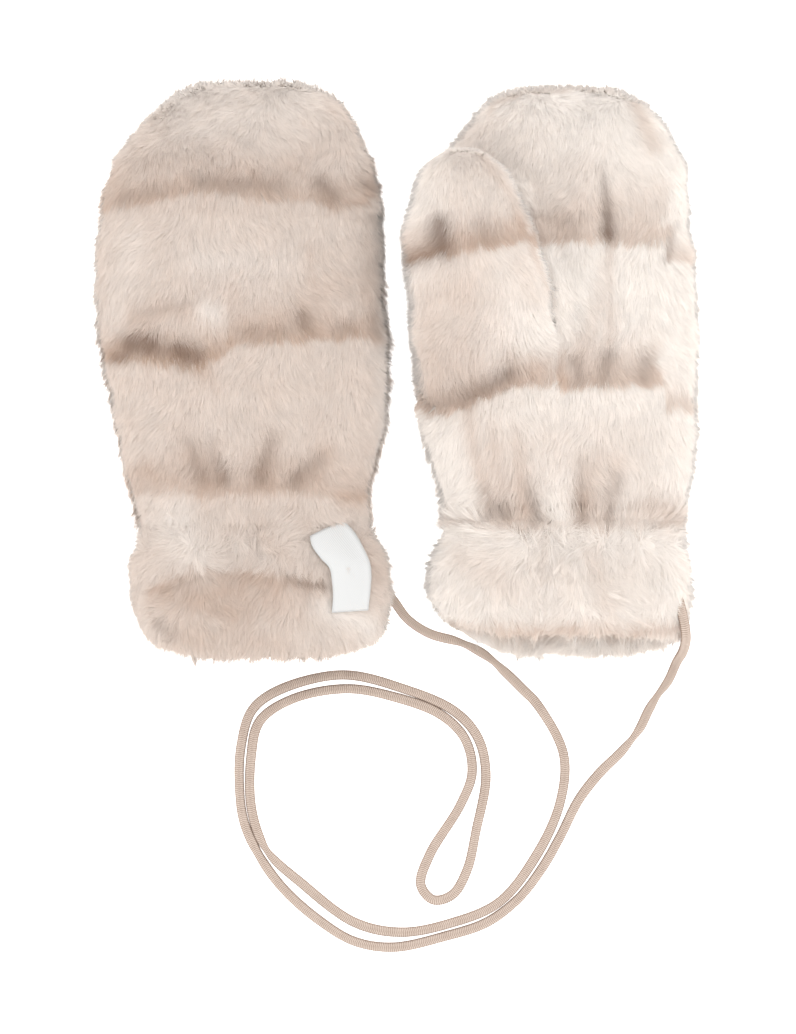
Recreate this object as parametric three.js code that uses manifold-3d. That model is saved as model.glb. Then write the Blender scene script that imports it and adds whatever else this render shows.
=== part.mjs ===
// A pair of plush fur mittens joined by a long cord, laid flat. The right hand's mitten lies back up with its
// thumb folded underneath, and the left hand's lies palm up with its thumb on top.
// +X runs to the right, +Y to the fingertips and +Z up. The origin is on the surface that the mittens lie on,
// under the middle of the pair. All lengths are in millimetres.
import * as THREE from "three";
import { mergeVertices } from "three/addons/utils/BufferGeometryUtils.js";
import Module from "manifold-3d";

const wasm = await Module();
wasm.setup();

// Hand and cuff
const handLength = 221; // gathered wrist to fingertips
const palmWidth = 142;
const handDepth = 48; // how high the hand stands as it lies
const cuffLength = 67; // gathered wrist to hem, on the back of the hand
const hemStep = 12; // the palm side of the cuff is this much shorter
const hemSag = 20; // the hem reaches this far past its highest corner
const cuffWall = 11; // fur outside and turned in
const wristLean = 1.5; // half the difference between the two wrists along Y
const wristSpacing = 154; // between the middles of the two wrists

// Thumb
const thumbRoot = 54; // from the wrist to where the thumb leaves the palm
const thumbLength = 132;
const thumbWidth = 70;
const thumbDepth = 30;
const tuckIn = 11; // how far the thumb underneath is pushed in from the hand's side

// Fur cloth
const backing = 2.5; // knitted cloth that the fur stands on
const pile = 6.5; // depth of the fur
const wall = backing + pile;
const lockDepth = 1.8; // how far a lock's tip stands over the next course of locks
const peltDepth = 1.6; // how far the lower edge of each pelt stripe stands up
const peltLength = 78; // one stripe of the pelt, along the hand
const foldDepth = 8; // deepest fold and gather
const insideFold = 0.35; // how much of a fold is felt inside, as a share of its depth
const pressed = 4; // how much the side that lies underneath is flattened

// Cord and label
const cordDiameter = 4.4;
const labelWidth = 18;
const labelLength = 45;
const labelThickness = 1.2;

const gap = 0.3; // between pieces that touch

// Resolution of the skins
const panelColumns = 20;
const liningColumns = 12;
const courses = 9; // courses of locks from the wrist to the curve of the fingertips
const cuffCourses = 3;
const cuffColumns = 36;
const thumbColumns = 16;
const passageColumns = 10;
const squareness = 2.5; // exponent of the flattened oval sections, 2 being an ellipse

// Outline and height of each mitten. at is a share of the hand's length, or of the cuff's below the wrist.
// left and right are shares of half the palm's width, depth and seam are shares of the hand's depth.
const rightSections = [
  { at: -1, left: 0.76, right: 0.87, depth: 0.88, seam: 0.48 },
  { at: -0.85, left: 0.8, right: 0.93, depth: 1, seam: 0.5 },
  { at: -0.6, left: 0.85, right: 0.95, depth: 1.04, seam: 0.5 },
  { at: -0.43, left: 0.86, right: 0.94, depth: 1.03, seam: 0.5 },
  { at: -0.22, left: 0.83, right: 0.9, depth: 0.98, seam: 0.5 },
  { at: -0.1, left: 0.8, right: 0.84, depth: 0.88, seam: 0.5 },
  { at: 0, left: 0.77, right: 0.78, depth: 0.78, seam: 0.5 },
  { at: 0.06, left: 0.84, right: 0.79, depth: 0.86, seam: 0.5 },
  { at: 0.12, left: 0.91, right: 0.84, depth: 0.94, seam: 0.5 },
  { at: 0.19, left: 0.94, right: 0.9, depth: 0.98, seam: 0.5 },
  { at: 0.28, left: 1, right: 0.93, depth: 1, seam: 0.5 },
  { at: 0.335, left: 1.05, right: 0.94, depth: 1, seam: 0.5 },
  { at: 0.42, left: 1.05, right: 0.92, depth: 1, seam: 0.5 },
  { at: 0.54, left: 1.08, right: 0.9, depth: 1, seam: 0.49 },
  { at: 0.63, left: 1.06, right: 0.9, depth: 0.98, seam: 0.48 },
  { at: 0.72, left: 1.02, right: 0.88, depth: 0.96, seam: 0.47 },
  { at: 0.82, left: 0.92, right: 0.8, depth: 0.88, seam: 0.44 },
  { at: 0.88, left: 0.81, right: 0.73, depth: 0.78, seam: 0.41 },
  { at: 0.94, left: 0.66, right: 0.63, depth: 0.6, seam: 0.37 },
  { at: 0.97, left: 0.54, right: 0.51, depth: 0.44, seam: 0.34 },
  { at: 0.99, left: 0.42, right: 0.36, depth: 0.27, seam: 0.32 },
  { at: 1, left: 0.24, right: 0.2, depth: 0.14, seam: 0.31 },
];
const leftSections = [
  { at: -1, left: 0.89, right: 0.84, depth: 0.88, seam: 0.48 },
  { at: -0.85, left: 0.93, right: 0.88, depth: 1, seam: 0.5 },
  { at: -0.6, left: 0.94, right: 0.89, depth: 1.04, seam: 0.5 },
  { at: -0.43, left: 0.94, right: 0.89, depth: 1.03, seam: 0.5 },
  { at: -0.22, left: 0.88, right: 0.86, depth: 0.98, seam: 0.5 },
  { at: -0.1, left: 0.83, right: 0.84, depth: 0.88, seam: 0.5 },
  { at: 0, left: 0.8, right: 0.81, depth: 0.78, seam: 0.5 },
  { at: 0.05, left: 0.81, right: 0.84, depth: 0.85, seam: 0.5 },
  { at: 0.1, left: 0.87, right: 0.89, depth: 0.92, seam: 0.5 },
  { at: 0.17, left: 0.95, right: 0.92, depth: 0.97, seam: 0.5 },
  { at: 0.32, left: 1.01, right: 0.93, depth: 1, seam: 0.5 },
  { at: 0.51, left: 1.04, right: 0.93, depth: 1, seam: 0.49 },
  { at: 0.61, left: 1.02, right: 0.91, depth: 0.98, seam: 0.48 },
  { at: 0.7, left: 0.98, right: 0.87, depth: 0.96, seam: 0.47 },
  { at: 0.77, left: 0.93, right: 0.86, depth: 0.92, seam: 0.46 },
  { at: 0.83, left: 0.84, right: 0.84, depth: 0.86, seam: 0.44 },
  { at: 0.89, left: 0.69, right: 0.75, depth: 0.76, seam: 0.41 },
  { at: 0.945, left: 0.57, right: 0.62, depth: 0.57, seam: 0.37 },
  { at: 0.975, left: 0.46, right: 0.49, depth: 0.4, seam: 0.34 },
  { at: 0.99, left: 0.36, right: 0.38, depth: 0.27, seam: 0.32 },
  { at: 1, left: 0.22, right: 0.24, depth: 0.14, seam: 0.31 },
];

// Folds of the side that shows. across is a share of half the palm's width where the fold starts, and lean is
// how far it drifts on its way to its end. from and to are stations as in the sections, and depth is a share
// of the deepest fold. breadth is the fold's half breadth, as a share of half the palm's width.
const rightFolds = [
  { across: -0.46, lean: -0.02, from: -0.12, to: 0.24, depth: 0.8, breadth: 0.09 },
  { across: -0.22, lean: -0.08, from: -0.1, to: 0.2, depth: 0.65, breadth: 0.08 },
  { across: 0.03, lean: 0.1, from: -0.12, to: 0.24, depth: 0.8, breadth: 0.09 },
  { across: 0.22, lean: 0.3, from: -0.06, to: 0.22, depth: 0.6, breadth: 0.09 },
  { across: 0.62, lean: 0.12, from: -0.2, to: 0.12, depth: 0.6, breadth: 0.09 },
  { across: -0.72, lean: 0.06, from: -0.25, to: 0.1, depth: 0.5, breadth: 0.09 },
  { across: -0.48, lean: -0.08, from: 0.3, to: 0.48, depth: 0.75, breadth: 0.16 },
];
const leftFolds = [
  { across: -0.43, lean: -0.14, from: -0.1, to: 0.22, depth: 0.75, breadth: 0.09 },
  { across: -0.17, lean: -0.06, from: -0.12, to: 0.14, depth: 0.65, breadth: 0.08 },
  { across: 0.1, lean: 0.02, from: -0.12, to: 0.26, depth: 0.8, breadth: 0.09 },
  { across: 0.33, lean: 0.05, from: -0.06, to: 0.16, depth: 0.6, breadth: 0.09 },
  { across: 0.68, lean: 0.04, from: -0.1, to: 0.1, depth: 0.55, breadth: 0.09 },
  { across: -0.75, lean: 0.02, from: -0.12, to: 0.08, depth: 0.5, breadth: 0.09 },
  { across: 0.24, lean: 0.1, from: 0.28, to: 0.82, depth: 0.85, breadth: 0.1 },
  { across: 0.74, lean: 0.02, from: 0.26, to: 0.7, depth: 0.55, breadth: 0.08 },
];
// Gathers of the side that lies underneath
const undersideFolds = [-0.7, -0.42, -0.14, 0.14, 0.42, 0.7].map((across) => ({
  across,
  lean: 0,
  from: -0.25,
  to: 0.22,
  depth: 0.6,
  breadth: 0.09,
}));

// The thumb's axis from root to tip. at is a share of its length, across of half the palm's width, breadth
// and depth of its own half sizes. onTop and beneath are its heights off the palm's plane, as shares of its
// depth, and so is mouth, how much further the hollow reaches into the hand.
const thumbSections = [
  { at: -0.1, across: -0.5, breadth: 0.9, depth: 0.7, onTop: -0.78, beneath: 1.1, mouth: 0.3 },
  { at: 0, across: -0.51, breadth: 0.95, depth: 0.8, onTop: -0.6, beneath: 1, mouth: 0.4 },
  { at: 0.19, across: -0.56, breadth: 0.98, depth: 0.95, onTop: -0.27, beneath: 0.8, mouth: 0.55 },
  { at: 0.34, across: -0.58, breadth: 1, depth: 1, onTop: -0.02, beneath: 0.64, mouth: 0.35 },
  { at: 0.45, across: -0.59, breadth: 1, depth: 1, onTop: 0.12, beneath: 0.55, mouth: 0.05 },
  { at: 0.61, across: -0.65, breadth: 0.97, depth: 1, onTop: 0.18, beneath: 0.5, mouth: 0 },
  { at: 0.69, across: -0.67, breadth: 0.93, depth: 1, onTop: 0.19, beneath: 0.5, mouth: 0 },
  { at: 0.77, across: -0.68, breadth: 0.82, depth: 0.98, onTop: 0.19, beneath: 0.5, mouth: 0 },
  { at: 0.87, across: -0.7, breadth: 0.68, depth: 0.86, onTop: 0.19, beneath: 0.48, mouth: 0 },
  { at: 0.94, across: -0.71, breadth: 0.54, depth: 0.66, onTop: 0.17, beneath: 0.46, mouth: 0 },
  { at: 0.98, across: -0.71, breadth: 0.36, depth: 0.42, onTop: 0.14, beneath: 0.44, mouth: 0 },
  { at: 1, across: -0.71, breadth: 0.2, depth: 0.22, onTop: 0.12, beneath: 0.43, mouth: 0 },
];

// How much the thumb lifts the palm, the side seam and the back, as shares of the thumb's depth, and where
const thumbLift = {
  beneath: { palm: 1, seam: 0.6, back: 0.4 },
  onTop: { palm: -0.28, seam: 0, back: 0 },
  fullAcross: -0.12,
  noneAcross: 0.4,
  startsAt: 0.26,
  fullAt: 0.5,
  fadesAt: 0.8,
  goneAt: 0.95,
};

// The cord's route from the left mitten's cuff round to the right one's, in two turns, chosen by hand. It is
// measured from the part's origin.
const cordRoute = [
  [142.2, -142.2, 15],
  [140.2, -148.2, 5],
  [136.2, -157.8, 2.5],
  [130.8, -165.2, 2.5],
  [126.2, -172.8, 2.5],
  [121.8, -181.8, 2.5],
  [113.2, -192.8, 2.5],
  [100.8, -205.2, 2.5],
  [90.8, -218.2, 2.5],
  [81.2, -237.2, 2.5],
  [72.2, -252.8, 2.5],
  [60.2, -268.2, 2.5],
  [44.2, -280.2, 2.5],
  [23.2, -287.2, 2.5],
  [-3.2, -292.8, 2.5],
  [-22.8, -289.8, 2.5],
  [-39.8, -279.8, 2.5],
  [-57.8, -264.2, 2.5],
  [-70.2, -247.8, 2.5],
  [-78.8, -229.2, 2.5],
  [-81.2, -209.8, 2.5],
  [-80.2, -190.2, 2.5],
  [-74.8, -172.8, 2.5],
  [-61.8, -162.8, 2.5],
  [-29.2, -154.8, 2.5],
  [1.2, -161.5, 2.5],
  [27.8, -173.2, 2.5],
  [39.8, -186.8, 2.5],
  [43.8, -205.8, 2.5],
  [38.8, -233.8, 2.5],
  [34.2, -253.8, 2.5],
  [26.8, -266.2, 2.5],
  [17.2, -268.8, 2.5],
  [10.8, -261.2, 2.5],
  [15.2, -246.2, 2.5],
  [30.8, -220.8, 2.5],
  [36.8, -204.2, 2.5],
  [33.2, -187.2, 2.5],
  [20.8, -174.8, 2.5],
  [-3.2, -165.8, 2.5],
  [-27.2, -161.8, 2.5],
  [-54.8, -167.2, 2.5],
  [-70.8, -178.2, 2.5],
  [-75.2, -196.2, 2.5],
  [-74.8, -223.8, 2.5],
  [-67.2, -243.8, 2.5],
  [-49.8, -260.2, 2.5],
  [-22.8, -280.2, 2.5],
  [0.2, -285.2, 2.5],
  [25.2, -280.8, 2.5],
  [50.2, -270.2, 2.5],
  [68.8, -247.2, 2.5],
  [81.2, -220.2, 2.5],
  [83.2, -195.2, 2.5],
  [70.2, -168.8, 2.5],
  [53.8, -153.8, 2.5],
  [43, -145.6, 2.5],
  [30.2, -139.4, 2.5],
  [15.8, -131.2, 2.5],
  [3.8, -123, 4],
];
const cordSteps = 80;
const cordSides = 8;

const furMaterial = new THREE.MeshStandardMaterial({ color: "#e4d8cd", roughness: 0.95 });
const cordMaterial = new THREE.MeshStandardMaterial({ color: "#cdbbac", roughness: 0.9 });
const labelMaterial = new THREE.MeshStandardMaterial({ color: "#f4f4f2", roughness: 0.7 });

const clamp01 = (value) => THREE.MathUtils.clamp(value, 0, 1);
const power = (value, exponent) => Math.sign(value) * Math.abs(value) ** exponent;

// Reads a table at any station, smoothly between its rows.
function reader(table, stationName = "at") {
  const names = Object.keys(table[0]).filter((name) => name !== stationName);
  const stations = table.map((row) => row[stationName]);
  const values = table.flatMap((row) => names.map((name) => row[name]));
  const curve = new THREE.CubicInterpolant(stations, values, names.length);
  return (station) => {
    const row = curve.evaluate(station);
    return Object.fromEntries(names.map((name, i) => [name, row[i]]));
  };
}

const readThumb = reader(thumbSections);

const mittens = {
  right: {
    palmUp: false,
    wrist: new THREE.Vector2(-wristSpacing / 2, wristLean),
    read: reader(rightSections),
    folds: rightFolds,
    lift: thumbLift.beneath,
    thumbShift: tuckIn,
    hem: { left: 0.18, right: 0.1 },
  },
  left: {
    palmUp: true,
    wrist: new THREE.Vector2(wristSpacing / 2, -wristLean),
    read: reader(leftSections),
    folds: leftFolds,
    lift: thumbLift.onTop,
    thumbShift: 0,
    hem: { left: 1, right: 0.1 },
  },
};

// How much of the thumb's lift is felt at a place of the hand.
function liftedShare(across, at) {
  const { fullAcross, noneAcross, startsAt, fullAt, fadesAt, goneAt } = thumbLift;
  const side = 1 - THREE.MathUtils.smoothstep(across, fullAcross, noneAcross);
  const root = THREE.MathUtils.smoothstep(at, startsAt, fullAt);
  const tip = 1 - THREE.MathUtils.smoothstep(at, fadesAt, goneAt);
  return side * root * tip;
}

// Depth of the folds at a place of the side that shows or of the one underneath.
function foldAt(mitten, across, at, shows) {
  let depth = 0;
  for (const fold of shows ? mitten.folds : undersideFolds) {
    const along = clamp01((at - fold.from) / (fold.to - fold.from));
    const window = Math.sin(Math.PI * along) ** 0.7;
    const off = (across - fold.across - fold.lean * along) / fold.breadth;
    depth += foldDepth * fold.depth * window * Math.exp(-off * off);
  }
  return Math.min(depth, foldDepth);
}

// Each pelt stripe is thickest at its lower edge.
function peltRelief(at) {
  const along = (at * handLength + 2 * peltLength) / peltLength;
  return peltDepth * (1 - (along - Math.floor(along)));
}

// A point of a mitten's skin. angle 0 is the right side seam, a quarter turn is up. relief stands outwards.
function skinPoint(mitten, at, angle, { inset = 0, relief = 0, grow = 0, side = 0 } = {}) {
  const section = mitten.read(at);
  const [turnX, turnZ] = [Math.cos(angle), Math.sin(angle)];
  const [spreadX, spreadZ] = [power(turnX, 2 / squareness), power(turnZ, 2 / squareness)];
  const middle = ((section.right - section.left) * palmWidth) / 4;
  const halfWidth = ((section.left + section.right) * palmWidth) / 4;
  const press = turnZ < 0 ? pressed * clamp01(section.depth) : 0;
  const halfDepth = (section.depth * handDepth) / 2 + press;
  const leastWidth = inset ? 3 : 1;
  const leastDepth = inset ? 0.5 : 1;
  const across = (middle + halfWidth * spreadX) / (palmWidth / 2);
  const shows = turnZ > 0;
  const felt = inset ? insideFold : 1;
  const fold = felt * foldAt(mitten, across, at, shows) * Math.abs(spreadZ);
  const out = relief + grow - fold;
  const wide = Math.max(halfWidth - inset, leastWidth);
  const deep = Math.max(halfDepth - inset, leastDepth);
  const upperShare = mitten.palmUp ? mitten.lift.palm : mitten.lift.back;
  const lowerShare = mitten.palmUp ? mitten.lift.back : mitten.lift.palm;
  const share = THREE.MathUtils.lerp(mitten.lift.seam, shows ? upperShare : lowerShare, Math.abs(spreadZ));
  const lift = thumbDepth * share * liftedShare(across, at);
  const x = middle + wide * spreadX + out * turnX;
  const depthHere = Math.max(deep + out, leastDepth);
  const z = section.seam * handDepth + lift + depthHere * spreadZ + (side * gap) / 2;
  return new THREE.Vector2(x, Math.max(z, inset - grow));
}

// Triangles between the first and second part of a ring, which is split after the given point.
function endCap(start, around, split) {
  const near = Array.from({ length: split + 1 }, (_, i) => start + i);
  const far = Array.from({ length: around - split - 1 }, (_, i) => start + around - 1 - i);
  const faces = [];
  let [i, j] = [0, 0];
  while (i < near.length - 1 || j < far.length - 1) {
    const nearShare = (i + 1) / (near.length - 1);
    const farShare = (j + 1) / (far.length - 1);
    if (nearShare <= farShare) faces.push([near[i], near[++i], far[j]]);
    else faces.push([near[i], far[j + 1], far[j++]]);
  }
  return faces;
}

// The closed skin through rings of as many points each, which run anticlockwise seen from the wrist.
// Ends are capped, unless the last ring joins the first.
function skin(rings, { joined = false, split } = {}) {
  const around = rings[0].length;
  const faces = [];
  for (let ring = 0; ring < rings.length - (joined ? 0 : 1); ring++) {
    const next = (ring + 1) % rings.length;
    for (let i = 0; i < around; i++) {
      const j = (i + 1) % around;
      const [a, b] = [ring * around + i, ring * around + j];
      const [c, d] = [next * around + j, next * around + i];
      faces.push(a, c, b, a, d, c);
    }
  }
  if (!joined) {
    const middle = split ?? around / 2;
    for (const face of endCap(0, around, middle)) faces.push(...face);
    for (const [a, b, c] of endCap((rings.length - 1) * around, around, middle)) faces.push(a, c, b);
  }
  const geometry = new THREE.BufferGeometry().setFromPoints(rings.flat());
  geometry.setIndex(faces);
  return geometry;
}

function toSolid(geometry) {
  const bare = geometry.clone();
  bare.deleteAttribute("normal");
  bare.deleteAttribute("uv");
  const merged = mergeVertices(bare);
  const vertProperties = merged.getAttribute("position").array;
  const triVerts = new Uint32Array(merged.index.array);
  return new wasm.Manifold(new wasm.Mesh({ numProp: 3, vertProperties, triVerts }));
}

// The largest body of a solid, without crumbs that a cut has left.
function toGeometry(solid) {
  const bodies = solid.decompose().sort((a, b) => b.volume() - a.volume());
  const mesh = bodies[0].getMesh();
  const geometry = new THREE.BufferGeometry();
  geometry.setAttribute("position", new THREE.BufferAttribute(mesh.vertProperties, 3));
  geometry.setIndex(new THREE.BufferAttribute(mesh.triVerts, 1));
  return geometry;
}

// Stations along a run of lock courses. Each lock's tip, at the course's start, stands over the course below.
function lockRows(from, to, count) {
  const rows = [];
  const pitch = (to - from) / count;
  for (let course = 0; course < count; course++) {
    rows.push({ at: from + course * pitch, course, height: 1 });
    rows.push({ at: from + (course + 0.86) * pitch, course, height: 0 });
  }
  return rows;
}

// Every second column of a course carries a lock's middle, and the courses are staggered.
const lockRelief = (row, column) => lockDepth * row.height * ((column + row.course) % 2 ? 1 : 0.3);

const tipRows = [0.93, 0.955, 0.975, 0.99, 1].map((at, i) => ({ at, course: courses + i, height: 0.4 }));
const handRows = [...lockRows(0, 0.91, courses), ...tipRows];

function handPoint(mitten, at, angle, options) {
  const flat = skinPoint(mitten, at, angle, options);
  return new THREE.Vector3(mitten.wrist.x + flat.x, mitten.wrist.y + at * handLength, flat.y);
}

// One fur panel of the hand from wrist to tip, the upper half if side is 1 and the lower if it is -1.
function handPanel(mitten, side) {
  const rings = handRows.map((row) => {
    const ring = [];
    for (let column = 0; column <= panelColumns; column++) {
      const relief = peltRelief(row.at) + lockRelief(row, column);
      const atSeam = column === 0 || column === panelColumns;
      const angle = (side * Math.PI * column) / panelColumns;
      ring.push(handPoint(mitten, row.at, angle, { relief: atSeam ? 0 : relief, side }));
    }
    for (let column = liningColumns; column >= 0; column--) {
      const angle = (side * Math.PI * column) / liningColumns;
      ring.push(handPoint(mitten, row.at, angle, { inset: wall, side }));
    }
    return side > 0 ? ring : ring.reverse();
  });
  return skin(rings, { split: side > 0 ? panelColumns : liningColumns });
}

// The hand without its hollow, grown all round, to trim what is sewn to it.
function handBody(mitten, grow) {
  const around = 2 * panelColumns;
  const rings = [{ ...handRows[0], at: -0.02 }, ...handRows].map((row) =>
    Array.from({ length: around }, (_, column) => {
      const relief = peltRelief(row.at) + lockRelief(row, column % panelColumns);
      return handPoint(mitten, row.at, (2 * Math.PI * column) / around, { relief, grow });
    }),
  );
  return toSolid(skin(rings));
}

// A closed tube along the thumb. It is drawn in by inset, and starts at the given station.
function thumbTube(mitten, columns, { inset = 0, from = -0.1, locks = false } = {}) {
  const stations = locks ? [...lockRows(from, 0.86, 5), { at: 0.86, course: 5, height: 0.6 }] : [];
  const plain = [from, 0, 0.15, 0.3, 0.45, 0.6, 0.72, 0.82, 0.88].map((at) => ({ at, course: 0, height: 0 }));
  const closing = [0.92, 0.96, 0.985, 1].map((at, i) => ({ at, course: i, height: locks ? 0.3 : 0 }));
  const last = inset ? 1 - inset / thumbLength : 1;
  const rings = [...(locks ? stations : plain), ...closing].map((row) => {
    const section = readThumb(row.at);
    const middle = (section.across * palmWidth) / 2 + mitten.thumbShift;
    const palmPlane = mitten.palmUp ? handDepth : 0;
    const axis = palmPlane + thumbDepth * (mitten.palmUp ? section.onTop : section.beneath);
    const y = thumbRoot + row.at * last * thumbLength;
    return Array.from({ length: columns }, (_, column) => {
      const angle = (2 * Math.PI * column) / columns;
      const relief = locks ? lockRelief(row, column) : 0;
      const wide = Math.max((section.breadth * thumbWidth) / 2 - inset, 2) + relief;
      const deep = Math.max((section.depth * thumbDepth) / 2 - inset, 1) + relief;
      const towardsHand = mitten.palmUp ? Math.sin(angle) < 0 : Math.sin(angle) > 0;
      const mouth = inset && towardsHand ? section.mouth * thumbDepth : 0;
      const x = middle + wide * power(Math.cos(angle), 2 / squareness);
      const z = axis + (deep + mouth) * power(Math.sin(angle), 2 / squareness);
      return new THREE.Vector3(mitten.wrist.x + x, mitten.wrist.y + y, Math.max(z, inset));
    });
  });
  return toSolid(skin(rings));
}

// The thumb, open into the hand and trimmed to the palm that it is sewn to.
function thumb(mitten) {
  const outer = thumbTube(mitten, thumbColumns, { locks: true });
  const passage = thumbTube(mitten, passageColumns, { inset: wall, from: -0.2 });
  return toGeometry(outer.subtract(passage).subtract(handBody(mitten, 2 * gap)));
}

function palmPanel(mitten) {
  const panel = toSolid(handPanel(mitten, mitten.palmUp ? 1 : -1));
  return toGeometry(panel.subtract(thumbTube(mitten, passageColumns, { inset: wall, from: -0.2 })));
}

// A point of the cuff. The palm side is shorter, and the hem's middle reaches lower than its sides.
function cuffPoint(mitten, at, angle, options) {
  const flat = skinPoint(mitten, at, angle, options);
  const up = Math.sin(angle);
  const palmSide = (1 + (mitten.palmUp ? up : -up)) / 2;
  const reach = cuffLength + mitten.wrist.y - hemStep * palmSide;
  const share = Math.cos(angle) > 0 ? mitten.hem.right : mitten.hem.left;
  const sides = hemSag * share * at * at * Math.cos(angle) ** 4;
  return new THREE.Vector3(mitten.wrist.x + flat.x, mitten.wrist.y - gap + at * reach + sides, flat.y);
}

// Outer stations of the cuff from the hem up to the wrist, as locks that point to the hem
const cuffRows = [
  { at: -1, course: 0, height: 0.2, tuck: 0.3 },
  ...lockRows(-0.95, -0.02, cuffCourses),
  { at: 0, course: 0, height: 0 },
];
// Stations inside the cuff from the wrist down to the turned hem. tuck is a share of the cuff's wall.
const turnedRows = [
  { at: 0, tuck: 1 },
  { at: -0.35, tuck: 1 },
  { at: -0.7, tuck: 1 },
  { at: -0.93, tuck: 0.96 },
  { at: -1.01, tuck: 0.75 },
];

function cuff(mitten) {
  const ring = (row, place) => Array.from({ length: cuffColumns }, (_, column) => {
    const angle = (2 * Math.PI * column) / cuffColumns;
    return cuffPoint(mitten, row.at, angle, place(row, column));
  });
  const outside = (row, column) => ({ relief: lockRelief(row, column) - cuffWall * (row.tuck ?? 0) });
  const inside = (row) => ({ inset: cuffWall * row.tuck });
  const outer = cuffRows.map((row) => ring(row, outside));
  const inner = turnedRows.map((row) => ring(row, inside));
  return skin([...outer, ...inner], { joined: true });
}

// The cuff without its hollow and locks, grown all round.
function cuffBody(mitten, grow) {
  const stations = [-1, -0.9, -0.75, -0.6, -0.45, -0.3, -0.15, 0];
  const rings = stations.map((at) => Array.from({ length: cuffColumns }, (_, column) => {
    const angle = (2 * Math.PI * column) / cuffColumns;
    return cuffPoint(mitten, at, angle, { grow });
  }));
  return toSolid(skin(rings));
}

// Where the label lies on the cuff: shares of half the palm's width across and of the cuff's length along
const labelLine = [
  { across: 0.53, at: -0.06 },
  { across: 0.61, at: -0.2 },
  { across: 0.685, at: -0.35 },
  { across: 0.706, at: -0.53 },
  { across: 0.69, at: -0.69 },
];

// A ribbon sewn on at both ends and draped over the fur of the cuff.
function label(mitten) {
  const place = ({ across, at }) => new THREE.Vector2((across * palmWidth) / 2, at * cuffLength);
  const spine = new THREE.SplineCurve(labelLine.map(place));
  const drawn = spine.getLength();
  const edge = (side) => Array.from({ length: 9 }, (_, i) => {
    const share = 0.5 + ((i / 8 - 0.5) * labelLength) / drawn;
    const heading = spine.getTangentAt(clamp01(share));
    const past = (share - clamp01(share)) * drawn;
    const point = spine.getPointAt(clamp01(share)).addScaledVector(heading, past);
    return point.add(new THREE.Vector2(-heading.y, heading.x).multiplyScalar((side * labelWidth) / 2));
  });
  const outline = new THREE.Shape([...edge(-1), ...edge(1).reverse()]);
  const above = new THREE.ExtrudeGeometry(outline, { depth: 2 * handDepth, bevelEnabled: false });
  above.translate(mitten.wrist.x, mitten.wrist.y, handDepth / 2);
  const seat = lockDepth + gap;
  const draped = cuffBody(mitten, seat + labelThickness).subtract(cuffBody(mitten, seat));
  return toGeometry(draped.intersect(toSolid(above)));
}

// The cord lies on the surface in one long doubled loop and climbs each cuff to where it is sewn on.
function cord(origin) {
  const onFur = cordDiameter / 2 + gap;
  const start = cuffPoint(mittens.left, -0.62, 0.62, { relief: lockDepth + onFur });
  const bend = cuffPoint(mittens.left, -0.95, 0.42, { relief: 2 * lockDepth + onFur });
  const end = cuffPoint(mittens.right, -0.58, -0.12, { relief: onFur + gap });
  const lying = cordRoute.map((point) => new THREE.Vector3(...point).add(origin));
  const section = new THREE.Shape();
  section.absarc(0, 0, cordDiameter / 2, 0, 2 * Math.PI);
  return new THREE.ExtrudeGeometry(section, {
    extrudePath: new THREE.CatmullRomCurve3([start, bend, ...lying, end], false, "centripetal"),
    steps: cordSteps,
    curveSegments: cordSides / 2,
    bevelEnabled: false,
  });
}

function piece(name, geometry, material) {
  const mesh = new THREE.Mesh(geometry, material);
  mesh.name = name;
  return mesh;
}

const pair = new THREE.Group();
for (const [hand, mitten] of Object.entries(mittens)) {
  const back = handPanel(mitten, mitten.palmUp ? -1 : 1);
  pair.add(piece(`${hand}_back`, back, furMaterial));
  pair.add(piece(`${hand}_palm`, palmPanel(mitten), furMaterial));
  pair.add(piece(`${hand}_thumb`, thumb(mitten), furMaterial));
  pair.add(piece(`${hand}_cuff`, cuff(mitten), furMaterial));
}
pair.add(piece("cuff_label", label(mittens.right), labelMaterial));

// The origin is on the surface, under the pair's middle, and the cord is laid from there.
const bounds = new THREE.Box3().setFromObject(pair);
const origin = bounds.getCenter(new THREE.Vector3()).setZ(bounds.min.z);
pair.add(piece("cord", cord(origin), cordMaterial));
pair.position.copy(origin).negate();

export default pair;
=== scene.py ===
import math

import bmesh
import bpy
import numpy as np
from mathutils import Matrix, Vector, kdtree
from mathutils.bvhtree import BVHTree


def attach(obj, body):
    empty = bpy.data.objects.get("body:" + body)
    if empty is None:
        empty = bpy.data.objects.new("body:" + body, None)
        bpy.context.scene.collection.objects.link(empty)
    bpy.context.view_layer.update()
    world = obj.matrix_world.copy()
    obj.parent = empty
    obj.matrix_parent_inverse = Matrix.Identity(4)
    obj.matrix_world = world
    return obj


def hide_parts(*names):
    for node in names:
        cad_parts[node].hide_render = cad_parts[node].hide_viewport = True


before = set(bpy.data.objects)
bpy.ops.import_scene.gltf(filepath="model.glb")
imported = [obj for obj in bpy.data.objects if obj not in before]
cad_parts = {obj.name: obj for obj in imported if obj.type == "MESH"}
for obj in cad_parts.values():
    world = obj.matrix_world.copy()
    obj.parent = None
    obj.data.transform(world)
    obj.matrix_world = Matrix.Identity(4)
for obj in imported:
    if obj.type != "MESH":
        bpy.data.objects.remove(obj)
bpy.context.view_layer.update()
mm = 0.001

# the photo shows 398 x 517 mm of the surface, at 2 pixels for each millimetre
photoView = {"lens": 100, "sensor": 36, "tall": 517, "middle": (-0.75, -74.75), "inFocus": 22}

lighting = {
    "sky": 1.2,
    "overhead": {"power": 6.0, "size": 1.3, "at": (-0.25, 0.35, 1.5)},
    "side": {"power": 2.0, "size": 0.9, "at": (0.9, -0.5, 1.1)},
    "floor": {"glow": 1.05, "albedo": 0.8},
}


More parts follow.
